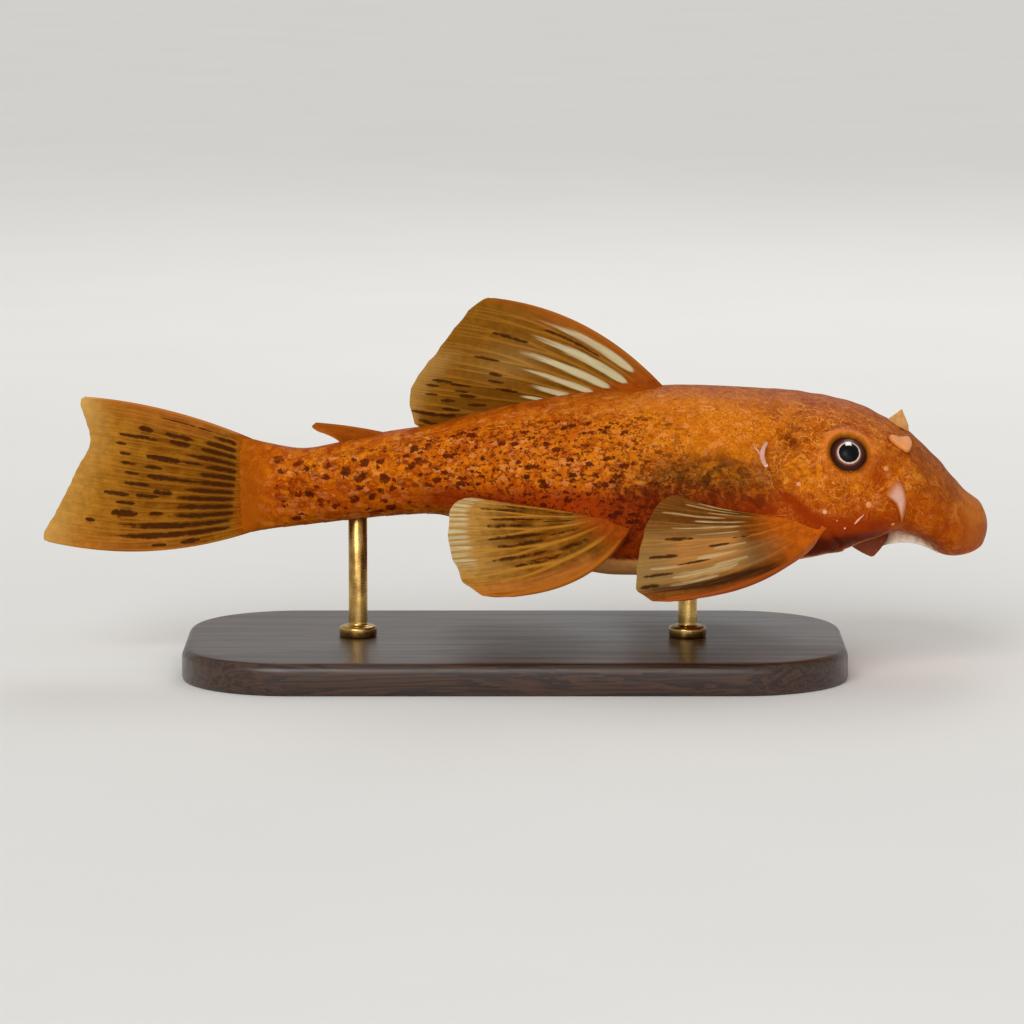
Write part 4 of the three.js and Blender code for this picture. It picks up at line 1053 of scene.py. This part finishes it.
# Fins that are not median are given for the right side. Each has its rays, the mesh's columns to a ray and
# its rows; how far its sheet reaches past its outer rays; the height of its ridges, and how many times higher
# the leading spine is; how deep its edge dips between rays, and the width and depth that round its far
# corners; how thick its fleshy root is, how far it reaches, where its tint ends and whether it thins towards
# both sides; and how far its two outer rays bow.
FINS = {
    "dorsal_fin": {
        "median": True, "rays": 9, "per_ray": 24, "rows": 90, "edge": 0.14, "ridge": 0.17, "spine": 1.9,
        "notch": 0.006, "corner": (0.9, 0.05), "flesh": 0.75, "flesh_to": 0.2,
        "roots": (
            (19.4, 0, 15.2), (15.9, 0, 14.85), (12.1, 0, 14.45), (7.9, 0, 13.95), (3.6, 0, 13.3),
            (-9.6, 0, 10.2),
        ),
        "tips": (
            (-4.1, 0, 27.9), (-7.0, 0, 24.4), (-9.8, 0, 20.7), (-12.0, 0, 17.9), (-13.4, 0, 15.0),
            (-12.9, 0, 11.4),
        ),
        "bow": ((0.9, 0, 2.3), (0, 0, -0.2)),
    },
    "caudal_fin": {
        "median": True, "rays": 16, "per_ray": 18, "rows": 90, "edge": 0.2, "ridge": 0.15, "spine": 1.6,
        "notch": 0.003, "corner": (1.7, 0.05), "flesh": 0.9, "flesh_to": 0.2, "tinted_to": 0.14,
        "rounded": True,
        "roots": ((-33.0, 0, 8.9), (-33.0, 0, 3.0), (-33.0, 0, -2.4)),
        "tips": (
            (-56.0, 0, 14.5), (-54.7, 0, 11.3), (-54.2, 0, 8.4), (-55.7, 0, 5.5), (-57.1, 0, 2.6),
            (-59.0, 0, -1.0), (-61.2, 0, -4.4),
        ),
        "bow": ((0, 0, 1.0), (0, 0, -1.9)),
    },
    "anal_fin": {
        "median": True, "rays": 5, "per_ray": 18, "rows": 40, "edge": 0.2, "ridge": 0.15, "spine": 1.5,
        "notch": 0.008, "corner": (0.8, 0.06), "flesh": 0.5, "flesh_to": 0.3,
        "roots": ((1.0, 0, -2.6), (-2.8, 0, -1.2)),
        "tips": ((-5.0, 0, -6.3), (-6.9, 0, -5.0), (-7.6, 0, -2.9)),
        "bow": ((0.3, 0, -0.3), (0, 0, 0)),
    },
    "adipose_fin": {
        "median": True, "rays": 2, "per_ray": 30, "rows": 50, "edge": 0.3, "ridge": 0.2, "spine": 1.3,
        "notch": 0.0, "corner": (0.1, 0.0), "flesh": 0.3, "flesh_to": 0.5,
        "roots": ((-15.2, 0, 9.7), (-21.6, 0, 7.9)),
        "tips": ((-25.5, 0, 11.2), (-25.8, 0, 10.9), (-25.2, 0, 10.35), (-24.0, 0, 9.9), (-22.5, 0, 9.3)),
        "bow": ((0, 0, 0.25), (0, 0, 0)),
    },
    "pectoral_fin": {
        "median": False, "rays": 7, "per_ray": 26, "rows": 84, "edge": 0.16, "ridge": 0.2, "spine": 2.3,
        "notch": 0.006, "corner": (1.2, 0.085), "flesh": 1.5, "flesh_to": 0.32, "tinted_to": 0.44,
        "roots": ((38.6, -12.6, -0.6), (36.6, -13.2, 0.6), (34.6, -13.5, 1.5)),
        "tips": (
            (15.9, -31.2, -7.3), (14.8, -29.2, -5.4), (14.9, -26.0, -3.3), (15.4, -22.5, -1.2),
            (16.1, -19.0, 0.8), (17.4, -16.6, 2.9), (18.6, -15.3, 4.5),
        ),
        "bow": ((1.6, -2.7, -1.5), (0, -0.5, -0.7)),
    },
    "pelvic_fin": {
        "median": False, "rays": 6, "per_ray": 26, "rows": 84, "edge": 0.16, "ridge": 0.19, "spine": 2.0,
        "notch": 0.007, "corner": (0.9, 0.07), "flesh": 0.9, "flesh_to": 0.26,
        "roots": ((14.6, -11.2, -0.4), (12.0, -11.1, 0.5), (10.8, -10.9, 0.9)),
        "tips": (
            (-4.7, -22.6, -7.6), (-6.3, -20.7, -6.0), (-7.4, -18.0, -4.2), (-8.2, -15.0, -2.3),
            (-8.4, -12.0, -0.1), (-8.1, -10.2, 1.9), (-6.9, -9.0, 3.3),
        ),
        "bow": ((1.7, -1.6, -2.2), (0, -0.5, 0)),
    },
}
WEB_HALF = 0.13  # half of the thickness of the skin between rays


def corner_cut(fin, ray):
    """The share of a ray's length that the rounding of the fin's two far corners takes off it."""
    width, depth = fin["corner"]
    front = np.clip(1 - ray / width, 0, 1)
    rear = np.clip(1 - (fin["rays"] - 1 - ray) / width, 0, 1)
    return depth * (2 - np.sqrt(1 - front**2) - np.sqrt(1 - rear**2))


def fin_middle(fin, u, ray):
    """Points of a fin's middle sheet at shares u of the rays' length and at places among the rays."""
    spans = fin["rays"] - 1
    root_line, tip_line = spaced_curve(fin["roots"]), spaced_curve(fin["tips"])
    v = np.clip(ray / spans, 0, 1)
    u3 = u[..., None]

    def sheet(at):
        a = at[..., None]
        bow = np.array(fin["bow"][0]) * (1 - a) ** 2 + np.array(fin["bow"][1]) * a**2
        notch = fin["notch"] * np.sin(math.pi * (ray % 1.0)) * (0.8 + 0.4 * np.sin(2.1 * np.floor(ray) + 1))
        reach = (1 - notch - corner_cut(fin, ray))[..., None]
        root = root_line(at)
        return root + (tip_line(at) - root) * u3 * reach + bow * 4 * u3 * (1 - u3)

    d = np.where(v < 0.5, 0.01, -0.01)
    sideways = unit((sheet(v + d) - sheet(v)) * np.sign(d)[..., None])
    return sheet(v) + sideways * (ray - v * spans)[..., None]


def ray_ridge(fin, u, ray):
    """Height of the rays' ridges, from 0 on the skin between them to 1 on a ray's crest."""
    spans = fin["rays"] - 1
    nearest = np.clip(np.round(ray), 0, spans)
    away = ray - nearest
    first = SPLIT_FIRST[2] * smooth(u, *SPLIT_FIRST[:2])
    second = SPLIT_SECOND[2] * smooth(u, *SPLIT_SECOND[:2])
    width = 0.13 + (0.05 - 0.13) * smooth(u, 0.3, 0.95)
    branches = [bell(away, a * first + b * second, width) for a in (-1, 1) for b in (-1, 1)]
    branched = np.max(branches, axis=0) * (1 - 0.35 * u)
    leading = bell(away, 0, 0.2 - 0.07 * u)
    return np.where(nearest == 0, leading, branched)


def rim_of(rows, columns):
    """The points round the edge of a grid, in turn."""
    grid = np.arange(rows * columns).reshape(rows, columns)
    return [*grid[0, :-1], *grid[:-1, -1], *grid[-1, :0:-1], *grid[:0:-1, 0]]


def sheet_normal(fin, u, ray, d=0.01):
    at = np.clip(ray, 2 * d, fin["rays"] - 1 - 2 * d)
    along = fin_middle(fin, np.minimum(u + d, 1), at) - fin_middle(fin, np.maximum(u - d, 0), at)
    beside = fin_middle(fin, u, at + d) - fin_middle(fin, u, at - d)
    return unit(np.cross(along, beside))


def fin_shape(fin):
    """Points of both faces of a fin, their faces, and the attributes that its colours are drawn by."""
    spans = fin["rays"] - 1
    inner = np.arange(spans * fin["per_ray"] + 1) / fin["per_ray"]
    columns = np.concatenate([[-fin["edge"], -fin["edge"] / 2], inner, [spans + fin["edge"] / 2]])
    u, ray = np.meshgrid(np.linspace(0, 1, fin["rows"]), columns, indexing="ij")
    out, middle = sheet_normal(fin, u, ray), fin_middle(fin, u, ray)
    ridge = ray_ridge(fin, u, ray) * smooth(u, 0.0, 0.14)
    leading = np.clip(1 - np.clip(ray, 0, None) * 2.4, 0, 1)
    half = (WEB_HALF + fin["ridge"] * ridge * (1 + (fin["spine"] - 1) * leading)) * (1 - 0.45 * u)
    half = half * (1 - 0.5 * smooth(u, 0.93, 1.0)) * (1 - 0.85 * (np.clip(-ray, 0, None) / fin["edge"]) ** 2)
    full = np.sqrt(np.clip(1 - (2 * ray / spans - 1) ** 2, 0, 1)) if fin.get("rounded") else 1
    half = half + fin["flesh"] * full * np.clip(1 - u / fin["flesh_to"], 0, 1) ** 1.5
    half = np.where(ray > spans, half * 0.6, half)
    if not fin["median"]:
        middle = middle + out * (0.12 * np.cos(2 * math.pi * ray) * u)[..., None]
    points = np.vstack([(middle + out * (sign * half)[..., None]).reshape(-1, 3) for sign in (1, -1)])
    if fin["median"]:
        points[:, 1] += sway(points[:, 0])
    front, rim = grid_faces(*u.shape), rim_of(*u.shape)
    back = front[:, ::-1] + u.size
    wall = [[b, a, a + u.size, b + u.size] for a, b in zip(rim, rim[1:] + rim[:1])]
    shares = {
        "along": u, "ray": ray, "ridge": ridge, "spine": leading * smooth(u, 0.0, 0.1),
        "flesh": smooth(u, fin.get("tinted_to", fin["flesh_to"]), 0.3 * fin["flesh_to"]),
    }
    return (points, front.tolist() + back.tolist() + wall), shares


def stroke(u, ray, at, start, end, width):
    """A lens-shaped mark along the rays, soft at its edges."""
    t = np.clip((u - start) / (end - start), 0, 1)
    lens = np.sqrt(4 * t * (1 - t))
    return smooth(np.abs(ray - at), 1.35 * width * lens + 0.03, 0) * smooth(lens, 0, 0.5)


def comet(u, ray, at, start, end, width):
    """A mark that is blunt at its start and thins and fades away towards its end."""
    t = np.clip((u - start) / (end - start), 0, 1)
    half = width * np.sqrt(np.clip(9 * t, 0, 1)) * (1 - t) ** 0.55
    return smooth(np.abs(ray - at), 1.2 * half + 0.03, 0.25 * half) * smooth(t, 0, 0.06) * smooth(t, 1, 0.3)


def bar(u, ray, at, start, end, width):
    """A mark of even width that thins out over its last third."""
    t = np.clip((u - start) / (end - start), 0, 1)
    half = width * (0.7 + 0.3 * smooth(t, 0, 0.2)) * smooth(t, 1.1, 0.6)
    return smooth(np.abs(ray - at), 1.3 * half + 0.05, 0.2 * half) * smooth(t, 0, 0.07) * smooth(t, 1, 0.6)


def strokes(u, ray, marks, shape=stroke):
    total = np.zeros(u.shape)
    for at, start, end, width in marks:
        total = np.maximum(total, shape(u, ray, at, start, end, width))
    return total


# Marks on the fins: each lies at a place among the rays, from one share of their length to another, with
# half its width as a share of the space between two rays
DORSAL_STRIPES = (
    (0.55, 0.14, 0.82, 0.27), (1.45, 0.09, 0.78, 0.35), (2.4, 0.09, 0.76, 0.33), (3.3, 0.09, 0.64, 0.3),
    (4.3, 0.12, 0.46, 0.31), (5.35, 0.16, 0.36, 0.25),
)
DORSAL_DASHES = (
    (6.05, 0.53, 0.66, 0.13), (6.5, 0.65, 0.76, 0.14), (6.6, 0.39, 0.53, 0.14), (7.3, 0.62, 1.0, 0.12),
    (7.25, 0.44, 0.66, 0.12), (6.95, 0.51, 0.68, 0.1), (5.2, 0.77, 0.91, 0.12), (5.3, 0.64, 0.78, 0.12),
    (5.6, 0.83, 0.93, 0.1), (4.1, 0.55, 0.64, 0.14), (5.1, 0.35, 0.5, 0.18), (0.95, 0.3, 0.62, 0.1),
    (1.85, 0.62, 0.82, 0.09), (7.7, 0.5, 0.9, 0.1), (3.2, 0.66, 0.8, 0.09), (4.6, 0.5, 0.6, 0.1),
    (5.75, 0.62, 0.72, 0.1), (6.2, 0.8, 0.9, 0.08),
)
CAUDAL_STREAK_ENDS = (0.18, 0.26, 0.3, 0.4, 0.27, 0.3, 0.31, 0.35, 0.39, 0.41, 0.41, 0.69, 0.69)
CAUDAL_STREAKS = tuple((i + 1.5, 0.105, 0.08 + end, 0.32) for i, end in enumerate(CAUDAL_STREAK_ENDS))
CAUDAL_DASHES = (
    (0.9, 0.15, 0.55, 0.1), (2.5, 0.6, 0.69, 0.38), (3.5, 0.58, 0.82, 0.28), (2.6, 0.36, 0.54, 0.42),
    (3.4, 0.38, 0.52, 0.38), (4.5, 0.78, 0.85, 0.2), (5.5, 0.74, 0.82, 0.2), (5.45, 0.44, 0.66, 0.4),
    (5.4, 0.3, 0.45, 0.2), (6.45, 0.7, 0.79, 0.2), (6.5, 0.54, 0.65, 0.22), (7.4, 0.66, 0.75, 0.2),
    (7.5, 0.43, 0.62, 0.36), (7.5, 0.31, 0.46, 0.22), (8.5, 0.58, 0.73, 0.3), (9.1, 0.45, 0.56, 0.5),
    (9.6, 0.52, 0.65, 0.32), (9.7, 0.68, 0.82, 0.3), (10.5, 0.63, 0.74, 0.22), (11.3, 0.47, 0.55, 0.26),
    (11.4, 0.6, 0.74, 0.5), (12.3, 0.8, 0.85, 0.2), (14.5, 0.42, 0.49, 0.24), (14.4, 0.26, 0.36, 0.4),
)
# How far from the middle between two rays, start, how much later it starts on each next ray, and length
PELVIC_STREAKS = ((-0.2, 0.36, 0.04, 0.3), (0.18, 0.5, -0.03, 0.34), (0, 0.2, 0, 0.22))
PELVIC_DASHES = tuple(
    (ray + 0.5 + shift, start + later * ray, start + later * ray + length, 0.13)
    for ray in range(1, 5)
    for shift, start, later, length in PELVIC_STREAKS
)
PECTORAL_RAYS = (
    (3.5, 0.42, 0.7, 0.1), (4.0, 0.4, 0.86, 0.14), (4.45, 0.36, 0.72, 0.12), (4.8, 0.5, 0.95, 0.1),
    (5.2, 0.32, 0.66, 0.12), (5.6, 0.42, 0.85, 0.1), (5.95, 0.5, 0.8, 0.1),
)
PECTORAL_PATCHES = (
    (1.3, 0.48, 0.84, 0.34), (1.5, 0.42, 0.62, 0.2), (2.1, 0.46, 0.7, 0.16), (0.95, 0.6, 0.86, 0.12),
    (1.9, 0.74, 0.94, 0.16), (2.5, 0.4, 0.6, 0.12),
)
PECTORAL_DASHES = (
    (2.7, 0.5, 0.62, 0.1), (1.95, 0.62, 0.8, 0.08), (2.4, 0.78, 0.95, 0.1), (1.5, 0.82, 0.97, 0.1),
    (3.3, 0.7, 0.88, 0.1), (1.05, 0.9, 0.99, 0.1), (3.0, 0.36, 0.48, 0.1),
)
PECTORAL_BAND = ((0.2, 0.39, 0.55, 0.76, 0.95), (0.05, 0.3, 0.58, 0.72, 0.9))  # its place by share of length


def dorsal_marks(u, ray):
    return {
        "pale": strokes(u, ray, DORSAL_STRIPES, comet),
        "dark": strokes(u, ray, DORSAL_DASHES),
        "shadow": 0.5 * smooth(ray, 3.8, 5.5) * smooth(u, 0.9, 0.5),
        "warm": 0.5 * smooth(ray, 1.2, 0.4) * smooth(u, 0.9, 0.6),
        "glow": 0.4 * smooth(u, 0.8, 1.0) * smooth(ray, 2.5, 4.0)
        + 0.25 * bell(u, 0.6, 0.16) * bell(ray, 3.2, 1.2),
    }


def caudal_marks(u, ray):
    return {
        "dark": np.maximum(strokes(u, ray, CAUDAL_STREAKS, bar), strokes(u, ray, CAUDAL_DASHES)),
        "shadow": 0.75 * between(u, 0.1, 0.14, 0.24, 0.5) * between(ray, 1, 4, 12, 15)
        + 0.3 * bell(u, 0.62, 0.14) * bell(ray, 8.5, 4.0),
        "warm": 0.6 * smooth(ray, 3.0, 0.5) * between(u, 0.1, 0.3, 0.6, 1.0)
        + 0.45 * smooth(ray, 12.0, 14.5) * smooth(u, 0.2, 0.4),
        "glow": smooth(u, 0.8, 1.02) * (0.35 + 0.5 * smooth(ray, 4.0, 0.5) + 0.3 * smooth(ray, 11, 14)),
    }


def pectoral_marks(u, ray):
    """A dark band edges the stout spine; behind it lie grey, cream and peach patches, then fine rays."""
    patches, rays = strokes(u, ray, PECTORAL_PATCHES), strokes(u, ray, PECTORAL_RAYS)
    grey = np.maximum(between(u, 0.16, 0.26, 0.42, 0.55), 0.9 * smooth(u, 0.74, 0.9))
    off_band = np.abs(ray - np.interp(u, *PECTORAL_BAND))
    return {
        "pale": np.maximum(0.56 * patches, 0.55 * rays),
        "glow": 0.3 * between(ray, 0.7, 1.3, 3.0, 4.6) * smooth(u, 0.34, 0.5),
        "dark": 0.8 * strokes(u, ray, PECTORAL_DASHES),
        "shadow": 0.5 * smooth(ray, 3.2, 4.6),
        "band": smooth(off_band, 0.34, 0.12) * between(u, 0.22, 0.42, 0.9, 1.0),
        "grey": between(ray, 0.6, 1.1, 2.2, 2.8) * grey,
        "warm": between(ray, 1.4, 2.0, 3.0, 3.6) * between(u, 0.36, 0.5, 0.74, 0.92),
    }


def pelvic_marks(u, ray):
    branches = smooth(np.abs((ray * 4) % 1 - 0.5), 0.42, 0.3)
    return {
        "glow": 0.3 * smooth(u, 0.6, 0.95) * smooth(ray, 0.6, 1.6),
        "pale": 0.5 * smooth(u, 0.84, 0.92) * smooth(ray, 0.9, 1.8) * branches,
        "dark": 0.7 * strokes(u, ray, PELVIC_DASHES),
        "warm": 0.9 * smooth(ray, 0.95, 0.5) * smooth(u, 0.2, 0.35),
    }


FIN_MARKS = {
    "dorsal_fin": dorsal_marks, "caudal_fin": caudal_marks, "pectoral_fin": pectoral_marks,
    "pelvic_fin": pelvic_marks,
}
# Each fin's colours in turn: web, rays, far edge, streaks, fleshy root, leading spine and, where they differ
# from the other fins', pale marks
FIN_COLOURS = {
    "dorsal_fin": ((132, 80, 8), (158, 104, 30), (130, 84, 18), (96, 56, 3), FIN_FLESH, (166, 88, 22)),
    "caudal_fin": ((146, 86, 6), (166, 104, 26), (178, 122, 34), (104, 56, 2), TAIL_BROWN, (188, 112, 44)),
    "anal_fin": ((150, 84, 14), (188, 124, 52), (196, 142, 76), (104, 54, 6), FIN_FLESH, (196, 104, 34)),
    "adipose_fin": ((160, 80, 8), (170, 88, 14), (170, 92, 22), (130, 60, 4), (164, 78, 6), (150, 76, 14)),
    "pectoral_fin": (
        (128, 68, 8), (166, 106, 42), (128, 76, 24), (80, 40, 4), (204, 98, 14), (160, 62, 12),
        (196, 166, 116),
    ),
    "pelvic_fin": ((148, 84, 10), (186, 126, 40), (172, 120, 46), (92, 50, 3), FIN_FLESH, (176, 94, 20)),
}
FIN_PAINTS = {
    "dorsal_fin": "fin_olive", "caudal_fin": "fin_gold", "anal_fin": "fin_tan", "adipose_fin": "fin_orange",
    "pectoral_fin": "fin_dusky", "pelvic_fin": "fin_amber",
}


def make_fins():
    for kind, fin in FINS.items():
        material = fin_paint(FIN_PAINTS[kind], *FIN_COLOURS[kind])
        (points, faces), shares = fin_shape(fin)
        if kind in FIN_MARKS:
            shares |= FIN_MARKS[kind](shares["along"], shares["ray"])
        attributes = {key: np.tile(np.clip(share, 0, 99).ravel(), 2) for key, share in shares.items()}
        sides = {"": 1} if fin["median"] else {"_right": 1, "_left": -1}
        for suffix, mirror in sides.items():
            name = kind + suffix
            shape = (points * (1, mirror, 1), faces)
            add_piece(name + "_rays", shape, material, (name,), attributes)


# The stand


def slab_outline(inset, segments=16):
    """Corner-rounded outline of the base, drawn in from its full size."""
    x, y, r = BASE["length"] / 2 - inset, BASE["width"] / 2 - inset, BASE["corner"] - inset
    points = []
    for quarter, (cx, cy) in enumerate(((x - r, y - r), (-x + r, y - r), (-x + r, -y + r), (x - r, -y + r))):
        for turn in np.linspace(quarter * math.pi / 2, (quarter + 1) * math.pi / 2, segments):
            points.append((cx + r * math.cos(turn), cy + r * math.sin(turn)))
    return np.array(points)


def make_base(material):
    height, edge = BASE["height"], BASE["edge"]
    profile = [(0.5, 0.0), (0.15, 0.12), (0.0, 0.5)]
    for a in np.linspace(0, math.pi / 2, 9):
        profile.append((edge * (1 - math.cos(a)), height - edge + edge * math.sin(a)))
    profile += [(edge + 1.2, height), (edge + 6, height)]
    rings = [[(x, y, level - FISH_Z) for x, y in slab_outline(inset)] for inset, level in profile]
    add_piece("stand_base_board", closed_loft(rings), material, ("stand_base",))


def make_rod(name, x, material):
    r, collar, tall, edge, fillet = ROD.values()
    foot = BASE["height"] + 0.02
    top = FISH_Z + float(bottom_at(x)) + 0.5
    profile = [(0.05, foot), (collar - 0.15, foot), (collar, foot + 0.15), (collar, foot + tall - edge)]
    for a in np.linspace(0.2, math.pi / 2, 7):
        profile.append((collar - edge + edge * math.cos(a), foot + tall - edge + edge * math.sin(a)))
    for a in np.linspace(0, math.pi / 2, 5):
        profile.append((r + fillet * (1 - math.sin(a)), foot + tall + fillet * (1 - math.cos(a))))
    profile += [(r, foot + tall + 0.6), (r, top - 0.2), (r - 0.2, top), (0.05, top)]
    rings = [
        (x, sway(x), level - FISH_Z) + radius * ellipse(48, np.array([1, 0, 0]), np.array([0, 1, 0]))
        for radius, level in profile
    ]
    add_piece(name + "_turned", closed_loft(rings), material, (name,))


# The studio

CAMERA_TARGET = (-0.00038, 0.0, 0.020)
CAMERA_DISTANCE = 0.7
CAMERA_ELEVATION = math.radians(8)
VIEW_WIDTH = 0.1302  # what the picture spans at the target
SENSOR = 36.0
FLOOR_HALF = 3.0


def put(item, place):
    """Places a lamp or the camera in the scene and turns it to the fish."""
    item.location = place
    item.rotation_euler = (Vector(CAMERA_TARGET) - item.location).to_track_quat("-Z", "Y").to_euler()
    bpy.context.scene.collection.objects.link(item)


def make_camera():
    data = bpy.data.cameras.new("camera")
    data.sensor_width = SENSOR
    data.lens = SENSOR * CAMERA_DISTANCE / VIEW_WIDTH
    data.clip_start, data.clip_end = 0.05, 20
    camera = bpy.data.objects.new("camera", data)
    back = Vector((0, -math.cos(CAMERA_ELEVATION), math.sin(CAMERA_ELEVATION)))
    put(camera, Vector(CAMERA_TARGET) + back * CAMERA_DISTANCE)
    bpy.context.scene.camera = camera


def make_light(kind, name, place, **settings):
    data = bpy.data.lights.new(name, kind)
    for key, value in settings.items():
        setattr(data, key, value)
    put(bpy.data.objects.new(name, data), place)


def make_studio():
    corners = [(x * FLOOR_HALF, y * FLOOR_HALF, 0) for x, y in ((-1, -1), (1, -1), (1, 1), (-1, 1))]
    mesh = bpy.data.meshes.new("floor")
    mesh.from_pydata(corners, [], [(0, 1, 2, 3)])
    mesh.materials.append(floor_paint())
    floor = bpy.data.objects.new("floor", mesh)
    bpy.context.scene.collection.objects.link(floor)
    world = bpy.data.worlds.new("studio")
    world.use_nodes = True
    background = world.node_tree.nodes["Background"]
    background.inputs["Color"].default_value = (1.0, 0.985, 0.96, 1)
    background.inputs["Strength"].default_value = 0.5
    bpy.context.scene.world = world
    make_light("SUN", "overhead", (-0.35, -1.0, 0.68), angle=math.radians(35), energy=1.42)
    make_light("AREA", "rim", (0.1, 0.5, 0.45), shape="DISK", size=0.3, energy=0.6)
    make_light("AREA", "low_fill", (0.06, -0.42, 0.03), shape="DISK", size=0.3, energy=0.34)
    bpy.context.scene.view_settings.view_transform = "Standard"


# The model

make_camera()
make_studio()
make_skin(skin_paint())
eye_material = eye_paint()
for eye_side in (RIGHT, LEFT):
    make_eye(eye_side, eye_material)
make_mouth(lip_paint())
make_face(
    soft_paint("flap_cream", (190, 132, 68), (222, 176, 116)),
    # the rims are darker: painted shade at the edges, and a blend into the skin
    soft_paint("flap_peach", (238, 158, 92), (228, 142, 76), rim=(200, 116, 54)),
    soft_paint("tentacle_lilac", (210, 162, 142), (200, 142, 118), rim=(182, 98, 40)),
    soft_paint("wart_pale", (214, 122, 50), (226, 142, 74)),
)
make_fins()
make_base(wood_paint())
rod_material = brass_paint()
for rod_name, rod_x in ROD_PLACES.items():
    make_rod(rod_name, rod_x, rod_material)
